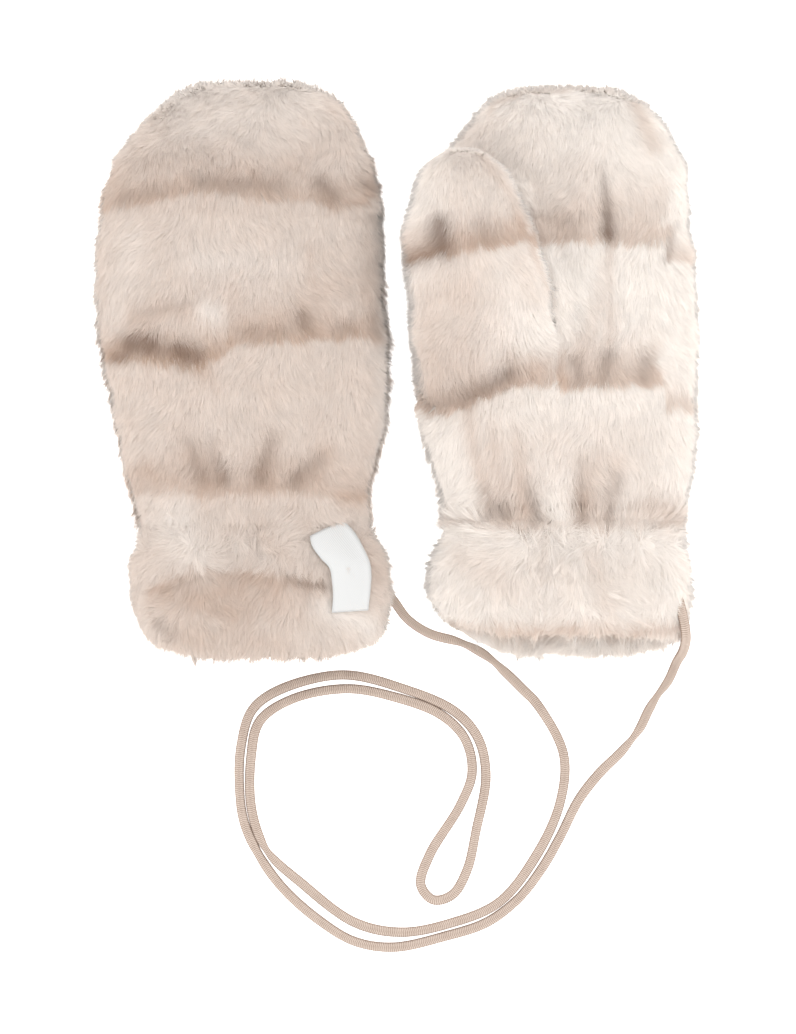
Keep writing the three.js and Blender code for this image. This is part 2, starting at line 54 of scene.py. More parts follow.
def toLinear(red, green, blue):
    return tuple((c / 255 / 12.92) if c < 10 else ((c / 255 + 0.055) / 1.055) ** 2.4 for c in (red, green, blue)) + (1,)


def newObject(name, mesh):
    piece = bpy.data.objects.new(name, mesh)
    bpy.context.scene.collection.objects.link(piece)
    return piece


def makeCamera():
    data = bpy.data.cameras.new("photoCamera")
    data.lens = photoView["lens"]
    data.sensor_width = photoView["sensor"]
    camera = bpy.data.objects.new("photoCamera", data)
    bpy.context.scene.collection.objects.link(camera)
    away = photoView["tall"] * photoView["lens"] / photoView["sensor"]
    x, y = photoView["middle"]
    camera.location = Vector((x, y, photoView["inFocus"] + away)) * mm
    bpy.context.scene.camera = camera


def addSocket(group, side, name, kind):
    return group.interface.new_socket(name=name, in_out=side, socket_type=kind)


def link(tree, source, target):
    tree.links.new(source, target)


def makeCoatGroup():
    # colour of the pelt: cream, shaded to taupe by stripe and by painted fold shade, to grey brown in dark marks and in
    # painted crease shade, to grey as painted shade where it faces sideways or down, and with painted shade towards the
    # roots
    group = bpy.data.node_groups.new("furCoat", "ShaderNodeTree")
    for name in ("Cream", "Taupe", "Dark_Mark_And_Shade", "Side_Shade"):
        addSocket(group, "INPUT", name, "NodeSocketColor")
    for name in ("Root Shade", "Fleck Amount", "Patch Scale"):
        addSocket(group, "INPUT", name, "NodeSocketFloat")
    addSocket(group, "OUTPUT", "Color", "NodeSocketColor")
    addSocket(group, "OUTPUT", "Roughness", "NodeSocketFloat")
    nodes = group.nodes
    given = nodes.new("NodeGroupInput")
    out = nodes.new("NodeGroupOutput")

    def attribute(name):
        node = nodes.new("ShaderNodeAttribute")
        node.attribute_name = name
        return node.outputs["Fac"]

    def mixColor(factor, first, second, blend="MIX"):
        node = nodes.new("ShaderNodeMix")
        node.data_type = "RGBA"
        node.blend_type = blend
        link(group, factor, node.inputs["Factor"])
        link(group, first, node.inputs["A"])
        link(group, second, node.inputs["B"])
        return node.outputs["Result"]

    def maths(kind, first, second=None, third=None):
        node = nodes.new("ShaderNodeMath")
        node.operation = kind
        for slot, value in enumerate((first, second, third)):
            if value is None:
                continue
            if isinstance(value, (int, float)):
                node.inputs[slot].default_value = value
            else:
                link(group, value, node.inputs[slot])
        return node.outputs["Value"]

    where = nodes.new("ShaderNodeTexCoord").outputs["Object"]
    patches = nodes.new("ShaderNodeTexNoise")
    patches.inputs["Detail"].default_value = 3
    link(group, where, patches.inputs["Vector"])
    link(group, given.outputs["Patch Scale"], patches.inputs["Scale"])
    uneven = maths("MULTIPLY_ADD", patches.outputs["Fac"], 0.5, 0.75)
    stripedAndShaded = maths("MULTIPLY", attribute("stripe_and_shade"), uneven)
    color = mixColor(stripedAndShaded, given.outputs["Cream"], given.outputs["Taupe"])
    # dark pelt marks, and painted shade in creases, folds and grooves
    color = mixColor(attribute("dark_mark_and_shade"), color, given.outputs["Dark_Mark_And_Shade"])
    # painted shade: grey where the pelt faces sideways or down, most on the outline hairs
    color = mixColor(attribute("side_shade"), color, given.outputs["Side_Shade"])
    fleck = maths("MULTIPLY", maths("SUBTRACT", attribute("fleck"), 0.5), given.outputs["Fleck Amount"])
    atRoot = maths("MULTIPLY", maths("SUBTRACT", 1.0, attribute("tip")), given.outputs["Root Shade"])
    mottled = maths("MULTIPLY_ADD", patches.outputs["Fac"], 0.12, 0.94)
    shade = maths("MULTIPLY", maths("ADD", maths("SUBTRACT", 1.0, atRoot), fleck), mottled)
    tint = nodes.new("ShaderNodeVectorMath")
    tint.operation = "SCALE"
    link(group, color, tint.inputs[0])
    link(group, shade, tint.inputs["Scale"])
    link(group, tint.outputs["Vector"], out.inputs["Color"])
    link(group, maths("MULTIPLY_ADD", patches.outputs["Fac"], 0.15, 0.75), out.inputs["Roughness"])
    return group


coat = {
    "cream": (251, 244, 237),
    "taupe": (201, 171, 149),
    # dark pelt marks, and the colour of painted shade in creases, folds and grooves
    "dark_mark_and_shade": (108, 76, 55),
    # colour of the painted shade on sides, undersides and outline hairs
    "side_shade": (186, 181, 177),
    "rootShade": 0.1,
    "fleckAmount": 0.2,
    "patchScale": 70,
}


def newMaterial(name):
    material = bpy.data.materials.new(name)
    material.use_nodes = True
    return material, material.node_tree, material.node_tree.nodes["Principled BSDF"]


def makeFurMaterial(group):
    material, tree, shader = newMaterial("plushFur")
    pelt = tree.nodes.new("ShaderNodeGroup")
    pelt.node_tree = group
    for name in ("Cream", "Taupe", "Dark_Mark_And_Shade", "Side_Shade"):
        pelt.inputs[name].default_value = toLinear(*coat[name.lower()])
    pelt.inputs["Root Shade"].default_value = coat["rootShade"]
    pelt.inputs["Fleck Amount"].default_value = coat["fleckAmount"]
    pelt.inputs["Patch Scale"].default_value = coat["patchScale"]
    link(tree, pelt.outputs["Color"], shader.inputs["Base Color"])
    link(tree, pelt.outputs["Roughness"], shader.inputs["Roughness"])
    shader.inputs["Specular IOR Level"].default_value = 0.2
    return material


def smoothRoute(points, spacing):
    # one smooth line through the points, with places an even distance apart, in millimetres
    given = np.array(points, float)
    given = np.vstack([2 * given[0] - given[1], given, 2 * given[-1] - given[-2]])
    drawn = []
    for a, b, c, d in zip(given, given[1:], given[2:], given[3:]):
        t1 = np.linalg.norm(b - a) ** 0.5
        t2 = t1 + np.linalg.norm(c - b) ** 0.5
        t3 = t2 + np.linalg.norm(d - c) ** 0.5
        t = np.linspace(t1, t2, 24, endpoint=False)[:, None]
        ab = (t1 - t) / t1 * a + t / t1 * b
        bc = (t2 - t) / (t2 - t1) * b + (t - t1) / (t2 - t1) * c
        cd = (t3 - t) / (t3 - t2) * c + (t - t2) / (t3 - t2) * d
        abc = (t2 - t) / t2 * ab + t / t2 * bc
        bcd = (t3 - t) / (t3 - t1) * bc + (t - t1) / (t3 - t1) * cd
        drawn.append((t2 - t) / (t2 - t1) * abc + (t - t1) / (t2 - t1) * bcd)
    line = np.vstack(drawn + [given[-2][None]])
    along = np.concatenate([[0], np.cumsum(np.linalg.norm(np.diff(line, axis=0), axis=1))])
    even = np.linspace(0, along[-1], int(along[-1] / spacing) + 1)
    return np.column_stack([np.interp(even, along, line[:, axis]) for axis in range(3)]), even


def meshFromArrays(name, points, triangles):
    mesh = bpy.data.meshes.new(name)
    mesh.vertices.add(len(points))
    mesh.vertices.foreach_set("co", np.ascontiguousarray(points, dtype=np.float32).ravel())
    mesh.loops.add(triangles.size)
    mesh.loops.foreach_set("vertex_index", triangles.astype(np.int32).ravel())
    mesh.polygons.add(len(triangles))
    mesh.polygons.foreach_set("loop_start", np.arange(0, triangles.size, 3, dtype=np.int32))
    mesh.update(calc_edges=True)
    mesh.polygons.foreach_set("use_smooth", np.ones(len(triangles), dtype=bool))
    return mesh


def addUv(mesh, name, perCorner):
    layer = mesh.uv_layers.new(name=name)
    layer.uv.foreach_set("vector", np.ascontiguousarray(perCorner, dtype=np.float32).ravel())


cordSettings = {
    # the line of the solid model's cord, in millimetres, with both ends moved to where the photo shows them
    "route": [
        (138.3, -115.5, 34.4), (141.6, -131, 36.2), (142.4, -142.2, 15), (140.2, -148.2, 5),
        (136.2, -157.8, 2.5), (130.8, -165.2, 2.5), (126.2, -172.8, 2.5), (121.8, -181.8, 2.5),
        (113.2, -192.8, 2.5), (100.8, -205.2, 2.5), (90.8, -218.2, 2.5), (81.2, -237.2, 2.5),
        (72.2, -252.8, 2.5), (60.2, -268.2, 2.5), (44.2, -280.2, 2.5), (23.2, -287.2, 2.5),
        (-3.2, -292.8, 2.5), (-22.8, -289.8, 2.5), (-39.8, -279.8, 2.5), (-57.8, -264.2, 2.5),
        (-70.2, -247.8, 2.5), (-78.8, -229.2, 2.5), (-81.2, -209.8, 2.5), (-80.2, -190.2, 2.5),
        (-74.8, -172.8, 2.5), (-61.8, -162.8, 2.5), (-29.2, -154.8, 2.5), (1.2, -161.5, 2.5),
        (27.8, -173.2, 2.5), (39.8, -186.8, 2.5), (43.8, -205.8, 2.5), (38.8, -233.8, 2.5),
        (34.2, -253.8, 2.5), (26.8, -266.2, 2.5), (17.2, -268.8, 2.5), (10.8, -261.2, 2.5),
        (15.2, -246.2, 2.5), (30.8, -220.8, 2.5), (36.8, -204.2, 2.5), (33.2, -187.2, 2.5),
        (20.8, -174.8, 2.5), (-3.2, -165.8, 2.5), (-27.2, -161.8, 2.5), (-54.8, -167.2, 2.5),
        (-70.8, -178.2, 2.5), (-75.2, -196.2, 2.5), (-74.8, -223.8, 2.5), (-67.2, -243.8, 2.5),
        (-49.8, -260.2, 2.5), (-22.8, -280.2, 2.5), (0.2, -285.2, 2.5), (25.2, -280.8, 2.5),
        (50.2, -270.2, 2.5), (68.8, -247.2, 2.5), (81.2, -220.2, 2.5), (83.2, -195.2, 2.5),
        (70.2, -170.2, 2.5), (62, -161.6, 2.5), (53.4, -153.2, 2.5), (43, -144.4, 2.5), (31, -138.4, 2.5),
        (15.2, -133.8, 2.5), (4.2, -126.6, 2.6), (-2.4, -117.8, 6),
    ],
    "width": 4.9,  # as it lies flattened
    "thickness": 3.5,
    "settles": 0.3,
    "sewnInto": [(137.4, -112, 31), (-10, -108, 17)],  # its ends, in the fur of the cuffs
    "sides": 20,
    "spacing": 1.0,
    # the tube rolls and narrows where it is twisted
    "pinches": [(49.2, -147.2), (33.2, -137.5), (-67.2, -243.8), (130.8, -164.5), (118.2, -187.2)],
    "pinchLength": 5,
    "ridge": 0.95,  # pitch of the knitted ridges across the tube
    "wales": 4,  # knitted columns round it
    "slant": 2.2,  # how far each ridge leans in a column, which makes a row of small arrows
    "beige": (214, 197, 184),
    # painted shade in the knit's grooves and on the tube's flanks
    "grooveShade": (146, 124, 110),
}


def makeCordMaterial():
    material, tree, shader = newMaterial("knittedCord")
    uv = tree.nodes.new("ShaderNodeUVMap")
    uv.uv_map = "knit"
    parts = tree.nodes.new("ShaderNodeSeparateXYZ")
    link(tree, uv.outputs["UV"], parts.inputs[0])

    def maths(kind, *values):
        node = tree.nodes.new("ShaderNodeMath")
        node.operation = kind
        for slot, value in enumerate(values):
            if isinstance(value, (int, float)):
                node.inputs[slot].default_value = value
            else:
                link(tree, value, node.inputs[slot])
        return node.outputs["Value"]

    round_ = maths("MULTIPLY", parts.outputs["X"], 2 * math.pi * cordSettings["wales"])
    along = maths("MULTIPLY", parts.outputs["Y"], 2 * math.pi / cordSettings["ridge"])
    wale = maths("ABSOLUTE", maths("SINE", maths("MULTIPLY", round_, 0.5)))
    across = maths("SINE", maths("ADD", along, maths("MULTIPLY", wale, cordSettings["slant"])))
    height = maths("ADD", maths("MULTIPLY", across, 0.8), maths("MULTIPLY", wale, 0.35))
    # painted shade: the knit's grooves are darkened towards the darker colour, and the columns at the two flattened
    # sides, which turn away from the light, are darkened further
    flank = maths("POWER", maths("ABSOLUTE", maths("COSINE", maths("MULTIPLY", parts.outputs["X"], 2 * math.pi))), 6)
    mix = tree.nodes.new("ShaderNodeMix")
    mix.data_type = "RGBA"
    mix.inputs["A"].default_value = toLinear(*cordSettings["grooveShade"])
    mix.inputs["B"].default_value = toLinear(*cordSettings["beige"])
    uneven = tree.nodes.new("ShaderNodeTexNoise")
    uneven.inputs["Scale"].default_value = 160
    link(tree, tree.nodes.new("ShaderNodeTexCoord").outputs["Object"], uneven.inputs["Vector"])
    level = maths("SUBTRACT", maths("MULTIPLY_ADD", height, 0.5, 0.5), maths("MULTIPLY", flank, 1.1))
    link(tree, maths("ADD", level, maths("MULTIPLY_ADD", uneven.outputs["Fac"], 0.3, -0.15)), mix.inputs["Factor"])
    link(tree, mix.outputs["Result"], shader.inputs["Base Color"])
    bump = tree.nodes.new("ShaderNodeBump")
    bump.inputs["Strength"].default_value = 0.6
    bump.inputs["Distance"].default_value = 0.2 * mm
    link(tree, height, bump.inputs["Height"])
    link(tree, bump.outputs["Normal"], shader.inputs["Normal"])
    shader.inputs["Roughness"].default_value = 0.85
    shader.inputs["Specular IOR Level"].default_value = 0.25
    return material


def makeCord():
    want = cordSettings
    first, last = want["sewnInto"]
    line, along = smoothRoute([first] + want["route"] + [last], want["spacing"])
    line[:, 2] -= want["settles"] * np.clip((6 - line[:, 2]) / 3, 0, 1)
    ahead = np.gradient(line, axis=0)
    ahead /= np.linalg.norm(ahead, axis=1)[:, None]
    aside = np.cross([0, 0, 1], ahead)
    aside /= np.linalg.norm(aside, axis=1)[:, None]
    upward = np.cross(ahead, aside)
    pinch = np.zeros(len(line))
    for x, y in want["pinches"]:
        away = np.hypot(line[:, 0] - x, line[:, 1] - y)
        pinch = np.maximum(pinch, np.exp(-((away / want["pinchLength"]) ** 2)))
    uneven = 0.12 * np.sin(along / 17) + 0.08 * np.sin(along / 7.3 + 2)
    sewnIn = np.clip(along / 4, 0.5, 1)
    wide = (want["width"] - 1.4 * pinch + uneven) * sewnIn / 2
    thick = (want["thickness"] + 0.7 * pinch - uneven) * np.clip(along / 7, 0.6, 1) / 2
    sides = want["sides"]
    turn = np.arange(sides) / sides * 2 * np.pi
    flat = 2 / 2.6
    circleX = np.sign(np.cos(turn)) * np.abs(np.cos(turn)) ** flat
    circleZ = np.sign(np.sin(turn)) * np.abs(np.sin(turn)) ** flat
    rings = line[:, None] + aside[:, None] * (wide[:, None] * circleX)[:, :, None]
    rings = rings + upward[:, None] * (thick[:, None] * circleZ)[:, :, None]
    points = np.vstack([rings.reshape(-1, 3), line[:1], line[-1:]])
    steps = len(line) - 1
    ring, side = np.meshgrid(np.arange(steps), np.arange(sides), indexing="ij")
    ring, side = ring.ravel(), side.ravel()
    beside = (side + 1) % sides
    a, b = ring * sides + side, ring * sides + beside
    c, d = a + sides, b + sides
    tube = np.stack([np.stack([a, b, d], 1), np.stack([a, d, c], 1)], 1).reshape(-1, 3)
    first, last = len(points) - 2, len(points) - 1
    edge = np.arange(sides)
    after = (edge + 1) % sides
    start = np.stack([after, edge, np.full(sides, first)], 1)
    end = np.stack([edge + steps * sides, after + steps * sides, np.full(sides, last)], 1)
    mesh = meshFromArrays("cordTube", points * mm, np.vstack([tube, start, end]))
    # the knit runs with the tube: its first coordinate goes round, its second is millimetres along
    u0, v0 = side / sides, along[ring]
    u1, v1 = (side + 1) / sides, along[ring + 1]
    corners = np.stack([u0, v0, u1, v0, u1, v1, u0, v0, u1, v1, u0, v1], 1).reshape(-1, 2)
    capped = np.zeros((6 * sides, 2))
    addUv(mesh, "knit", np.vstack([corners, capped]))
    # laid out in lanes for the finished texture
    lanes = 24
    lane = np.floor(ring / (steps + 1) * lanes)
    across = lambda u: (lane + 0.05 + 0.9 * u) / lanes
    lengthwise = lambda r: (r / (steps + 1) * lanes - lane) * 0.98 + 0.01
    laneCorners = np.stack([
        across(u0), lengthwise(ring), across(u1), lengthwise(ring), across(u1), lengthwise(ring + 1),
        across(u0), lengthwise(ring), across(u1), lengthwise(ring + 1), across(u0), lengthwise(ring + 1),
    ], 1).reshape(-1, 2)
    tip = np.tile([[0.001, 0.001], [0.004, 0.001], [0.002, 0.004]], (2 * sides, 1))
    addUv(mesh, "OFBake", np.vstack([laneCorners, tip]))
    cord = newObject("knittedCord", mesh)
    mesh.materials.append(makeCordMaterial())
    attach(cord, "root")
    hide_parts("cord")


# Where the pelt is dark, in millimetres on the surface, seen from above, with painted shade and a painted highlight. A
# band is darkest along its edge and fades upwards from it, or downwards where its fade is negative. A stroke is a soft
# line: its points, its half width at both ends, and its depth at both ends. Strokes tint to taupe or to the dark
# colour, or clear; the strokes marked below paint shade into folds, creases and grooves, or a highlight.
rightMarks = {
    "base": 0.36,
    "dusk": 0.06,  # grey brown over the whole pelt
    "bands": [
        {"edge": [(-150, 79), (-143.6, 80.6), (-127.5, 83.8), (-108, 88), (-79, 86), (-63, 84.7), (-50, 84.5),
                  (-40.6, 81.5), (-31, 79), (-21, 81.5), (-10, 87), (-4, 87)], "fade": 32, "depth": 0.6},
        {"edge": [(-150, 2), (-143.6, 4.9), (-121, 1.6), (-100, 1), (-92, 5), (-83, 9.9)], "fade": 24, "depth": 0.78},
        {"edge": [(-86, 10), (-79, 12.9), (-53.4, 12.9), (-36, 14.5), (-10, 14.5), (-4, 14)], "fade": 32,
         "depth": 0.75},
        {"edge": [(-150, -66), (-125, -63), (-60, -62.8), (-40, -64), (-4, -66)], "fade": 32, "depth": 0.42},
        {"edge": [(-126, -112), (-121, -109), (-105, -104), (-79, -102.5), (-53.4, -105.5), (-34, -109)],
         "fade": -24, "depth": 0.62},
    ],
    "taupe": [
        ([(-133, 25), (-105, 30)], (6, 6), (0.3, 0.25)),
        ([(-45, 60), (-42, 40)], (2, 2), (0.15, 0.15)),
        ([(-15, 70), (-15, 35)], (5, 6), (0.12, 0.15)),
        ([(-31, -66), (-19, -66)], (4, 4), (0.35, 0.35)),
        # painted shade: this stroke and the next two widen the shade of the gathered creases at the wrist
        ([(-104, -42), (-96, -57)], (9, 10), (0.25, 0.42)),
        ([(-65, -38), (-69, -57)], (6, 8), (0.2, 0.45)),
        ([(-36, -44), (-50, -57)], (6, 8), (0.32, 0.4)),
        ([(-138, 8), (-118, 9), (-99, 5)], (8, 8), (0.35, 0.35)),
        ([(-128, -52), (-112, -58)], (5, 5), (0.25, 0.25)),
        ([(-100, -1), (-90, -9)], (4, 4), (0.3, 0.1)),
        ([(-18, -85), (-12, -105)], (5, 6), (0.2, 0.2)),
        ([(-70, -80), (-60, -95)], (5, 5), (0.12, 0.12)),
        ([(-45, 42), (-10, 40)], (10, 12), (0.15, 0.15)),
        ([(-112, -114), (-84, -118), (-66, -114)], (8, 9), (0.3, 0.3)),
        ([(-104, -121), (-76, -125)], (5, 5), (0.25, 0.25)),
        ([(-110, -134), (-60, -138)], (8, 8), (0.25, 0.2)),
    ],
    "dark": [
        ([(-140, 84), (-120, 88)], (4, 4), (0.15, 0.2)),
        ([(-100, 93), (-60, 91)], (5, 5), (0.28, 0.28)),
        ([(-39, 92), (-34, 86)], (5, 5), (0.45, 0.4)),
        ([(-18, 92), (-12, 90)], (4, 4), (0.25, 0.25)),
        ([(-135, 12), (-125, 11)], (5.5, 6), (0.6, 0.62)),
        ([(-124, 9), (-112, 7)], (4, 4.5), (0.25, 0.35)),
        ([(-109, 7), (-102, 5)], (6, 5.5), (0.6, 0.6)),
        ([(-143, 4), (-138, 5)], (3, 3), (0.4, 0.4)),
        # painted shade along the crease at the top of this band
        ([(-134, 27), (-118, 29), (-104, 33)], (2, 1.5), (0.12, 0.12)),
        ([(-48, 24), (-46, 18)], (5, 4), (0.42, 0.35)),
        ([(-76, 18), (-58, 18)], (4, 4), (0.18, 0.22)),
        ([(-30, 20), (-24, 18)], (4, 4), (0.18, 0.18)),
        ([(-14, 26), (-11, 17)], (3, 3), (0.2, 0.25)),
        # painted shade: these four strokes are the shade in the gathered creases at the wrist
        ([(-106.6, -36), (-99, -54)], (3.5, 4.5), (0.12, 0.36)),
        ([(-94, -40), (-88, -56)], (3.5, 4.5), (0.15, 0.45)),
        ([(-63, -34), (-69.6, -54)], (3.5, 5), (0.15, 0.45)),
        ([(-40.6, -46), (-52, -56)], (4, 5), (0.2, 0.4)),
        ([(-118, -112), (-100, -106)], (1.5, 1.5), (0.2, 0.25)),
        ([(-55, -106), (-38, -110)], (2.5, 2), (0.3, 0.55)),
        ([(-122, -128), (-114, -135)], (2.5, 2.5), (0.3, 0.2)),
    ],
    "clear": [
        # painted highlight where the fur parts beside the crease
        ([(-97, 28), (-93, 26)], (6, 6), (0.7, 0.7)),
        ([(-113, -76), (-104, -93)], (13, 13), (0.6, 0.55)),
        ([(-35, -120), (-15, -130)], (8, 8), (0.8, 0.8)),
        ([(-5, 95), (-5, -55)], (6, 6), (0.7, 0.6)),
        ([(-122, 138), (-90, 142), (-45, 138)], (10, 10), (0.5, 0.5)),
        ([(-105, 124), (-55, 124)], (13, 13), (0.4, 0.4)),
        ([(-135, 62), (-141, 20)], (9, 7), (0.35, 0.3)),
        ([(-100, 55), (-55, 50)], (10, 10), (0.35, 0.35)),
    ],
}
leftMarks = {
    "base": 0.0,
    "dusk": 0.0,
    "bands": [
        {"edge": [(44, 126), (48, 131), (55, 135), (62, 137.5), (70, 138.5), (85, 139.5), (100, 139.5), (116, 136.5)],
         "fade": 14, "depth": 0.35},
        {"edge": [(0, 50.3), (2.4, 51.6), (15.8, 55.3), (36.3, 58.8), (52.3, 62.3), (66, 66)], "fade": 30,
         "depth": 0.85},
        {"edge": [(66, 62), (136, 62.3)], "fade": 44, "depth": 0.6},
        {"edge": [(133, 53.5), (150, 53)], "fade": 22, "depth": 0.45},
        {"edge": [(6, -22), (12, -22), (26, -21.5), (34, -18), (46, -12.5), (56, -8.5), (66, -7.5), (84, -9)],
         "fade": 24, "depth": 0.72},
        {"edge": [(79, -11.8), (101.3, -9.8), (133, -7.8)], "fade": 38, "depth": 0.68},
        {"edge": [(133, -20), (150, -22)], "fade": 26, "depth": 0.5},
        {"edge": [(14, -78), (45, -78.5), (70, -79), (90, -79), (120, -78.5), (146, -78)], "fade": 14, "depth": 0.3},
        {"edge": [(24, -128), (60, -132), (100, -133), (144, -130)], "fade": -14, "depth": 0.45},
    ],
    "taupe": [
        ([(119, 131), (127, 111)], (4, 5), (0.35, 0.3)),
        ([(12, 35), (14, -10)], (8, 9), (0.15, 0.25)),
        ([(36, 112), (36, 72)], (24, 26), (0.22, 0.2)),
        # painted shade: this stroke and the next three darken the gathered folds at the wrist
        ([(60, -42), (63, -72)], (6, 8), (0.15, 0.4)),
        ([(46, -30), (48, -50), (52, -72)], (5, 7), (0.18, 0.4)),
        ([(92, -48), (91, -73)], (5, 6), (0.2, 0.4)),
        ([(108, -50), (102, -72)], (7, 7), (0.2, 0.35)),
        ([(125, -62), (136, -76)], (8, 8), (0.1, 0.2)),
        # painted shadow in the fold between the hem's lip and the cuff
        ([(50, -131), (140, -131)], (4, 4), (0.3, 0.3)),
        ([(105.5, 60), (105, 12)], (2, 2.5), (0.15, 0.15)),
        # painted shadow of a diagonal fold on the palm
        ([(104, 56), (99, 30), (90, 4)], (3.5, 6), (0.12, 0.28)),
        ([(118, 90), (90, 84), (76, 70)], (12, 10), (0.12, 0.16)),
        # painted shade beside the thumb's right side
        ([(66, 60), (78, 30)], (1.6, 1.6), (0.4, 0.1)),
        # painted shade along the thumb's right edge
        ([(42, 105), (56, 86), (64, 64)], (3, 3), (0.2, 0.3)),
        # painted shade that tones down the thumb's lower right side, where the light falls strongly
        ([(61, 54), (68, 34)], (7, 8), (0.18, 0.15)),
        ([(56, 3), (68, 0)], (7, 7), (0.3, 0.3)),
        ([(108, 27), (102, 0)], (5, 8), (0.12, 0.25)),
        # painted shade in two gathered folds at the wrist
        ([(34, -24), (38, -44), (44, -69)], (4, 4), (0.25, 0.35)),
        ([(58, -30), (62, -70)], (3, 4), (0.12, 0.25)),
        ([(118, -70), (142, -72)], (5, 5), (0.22, 0.22)),
        # painted shade in a gathered fold at the wrist
        ([(99, -45), (93, -70)], (5, 5), (0.18, 0.35)),
        ([(30, -95), (55, -110)], (7, 7), (0.16, 0.12)),
        ([(96, -95), (104, -120)], (5, 6), (0.16, 0.16)),
        ([(72, -85), (72, -105)], (2.5, 2.5), (0.15, 0.1)),
        ([(70, 100), (90, 96)], (20, 18), (0.12, 0.12)),
        ([(30, 34), (28, 2)], (24, 22), (0.36, 0.4)),
        ([(55, -42), (115, -42)], (24, 22), (0.18, 0.18)),
        ([(50, -105), (110, -105)], (25, 25), (0.14, 0.14)),
    ],
    "dark": [
        ([(101.5, 97), (104, 82), (104.5, 66)], (2.2, 3.8), (0.2, 0.75)),
        # painted shade in the groove between the thumb and the palm
        ([(66, 78), (68.5, 66)], (3, 4), (0.12, 0.15)),
        ([(84, 74), (86, 68)], (5, 5), (0.15, 0.18)),
        ([(20, 71), (21, 60)], (6, 7), (0.62, 0.64)),
        ([(41, 72), (43, 65)], (6, 6), (0.22, 0.2)),
        ([(3, 53), (12, 55)], (5, 5), (0.42, 0.42)),
        ([(55, -3), (46, -8.5), (34, -14)], (4.5, 5.5), (0.5, 0.36)),
        ([(26, -16), (16, -19)], (5, 5), (0.22, 0.22)),
        ([(88, 2), (90, -7)], (4, 4), (0.3, 0.3)),
        ([(104, 6), (102, -6)], (4, 4.5), (0.4, 0.3)),
        ([(124, 2), (122, -5)], (5, 4), (0.28, 0.28)),
        ([(139, 72), (134, 55)], (1.8, 2.5), (0.2, 0.35)),
        # painted shade: these four strokes darken the gathered folds at the wrist
        ([(42, -64), (46, -69), (53, -73)], (4.5, 4), (0.2, 0.36)),
        ([(65, -60), (67, -68), (69, -75)], (4, 3.6), (0.18, 0.36)),
        ([(90, -46), (90.5, -62), (91, -75)], (2.6, 3.6), (0.12, 0.36)),
        ([(110, -56), (106, -66), (104, -75)], (4.5, 3.5), (0.2, 0.28)),
        # painted shade: these three strokes are scalloped shade under the gathers along the wrist seam
        ([(20, -74), (29, -77.5), (39, -77), (46, -73.5)], (1.6, 2), (0.25, 0.28)),
        ([(52, -76), (60, -78.5), (67, -78)], (2.2, 2.2), (0.1, 0.15)),
        ([(112, -75.5), (122, -78.5), (133, -78), (143, -75.5)], (1.8, 1.8), (0.12, 0.14)),
    ],
    "clear": [
        ([(76, -68), (83, -76)], (4, 4), (0.7, 0.7)),
    ],
}


def ease(value, low, high):
    share = np.clip((value - low) / (high - low), 0, 1)
    return share * share * (3 - 2 * share)


def waves(places, size, seed, count=7):
    # a smooth random field on the surface, mostly between -1 and 1, with swells about size millimetres apart
    rng = np.random.default_rng(seed)
    heading = rng.uniform(0, 2 * np.pi, count)
    often = 2 * np.pi / size * rng.uniform(0.6, 1.4, count)
    phase = places[:, :2] @ np.stack([np.cos(heading) * often, np.sin(heading) * often])
    return np.sin(phase + rng.uniform(0, 2 * np.pi, count)).sum(axis=1) / math.sqrt(count)


def strokeAt(places, stroke):
    # how strongly one soft line covers the places
    points, halves, depths = stroke
    line = np.array(points, float)
    near, share = np.full(len(places), 1e9), np.zeros(len(places))
    for i, (a, b) in enumerate(zip(line, line[1:])):
        along = np.clip(((places[:, :2] - a) @ (b - a)) / ((b - a) @ (b - a)), 0, 1)
        away = np.linalg.norm(places[:, :2] - a - along[:, None] * (b - a), axis=1)
        share = np.where(away < near, (i + along) / (len(line) - 1), share)
        near = np.minimum(near, away)
    half = halves[0] + (halves[1] - halves[0]) * share
    depth = depths[0] + (depths[1] - depths[0]) * share
    return depth * np.exp(-((near / half) ** 2))


def shadeAt(places, marks):
    # how dark the pelt's stripes and dark marks are at places given in millimetres, with painted shade in folds,
    # creases and grooves and a painted highlight
    wavy = 0.9 * waves(places, 14, 5) + 0.5 * waves(places, 5, 6)
    light = np.full(len(places), 1 - marks["base"])
    for band in marks["bands"]:
        edgeX, edgeY = np.array(band["edge"], float).T
        over = (places[:, 1] + wavy - np.interp(places[:, 0], edgeX, edgeY)) * math.copysign(1, band["fade"]) + 1.5
        fade = abs(band["fade"]) * (1 + 0.2 * waves(places, 30, 8))
        soft = np.clip(1 - over / fade, 0, 1) ** 1.3
        core = np.clip(1 - over / (0.6 * fade), 0, 1)
        ends = ease(places[:, 0], edgeX[0] - 1, edgeX[0] + 1) * ease(edgeX[-1] - places[:, 0] + 2 * wavy, -1, 5)
        light *= 1 - band["depth"] * ease(over, -1, 2) * ends * (0.55 * soft + 0.45 * core)
    for stroke in marks["taupe"]:
        light *= 1 - strokeAt(places, stroke)
    stripe_and_shade = 1 - light
    for stroke in marks["clear"]:
        stripe_and_shade *= 1 - strokeAt(places, stroke)
    plain = np.full(len(places), 1 - marks["dusk"])
    for stroke in marks["dark"]:
        plain *= 1 - strokeAt(places, stroke)
    return stripe_and_shade, 1 - plain


def asSeen(places):
    # where the photo shows places in millimetres, which spread a little with their height
    middle = np.array(photoView["middle"])
    away = photoView["tall"] * photoView["lens"] / photoView["sensor"]
    spreadOut = away / (away + photoView["inFocus"] - places[:, 2:3])
    return np.hstack([middle + (places[:, :2] - middle) * spreadOut, places[:, 2:3]])


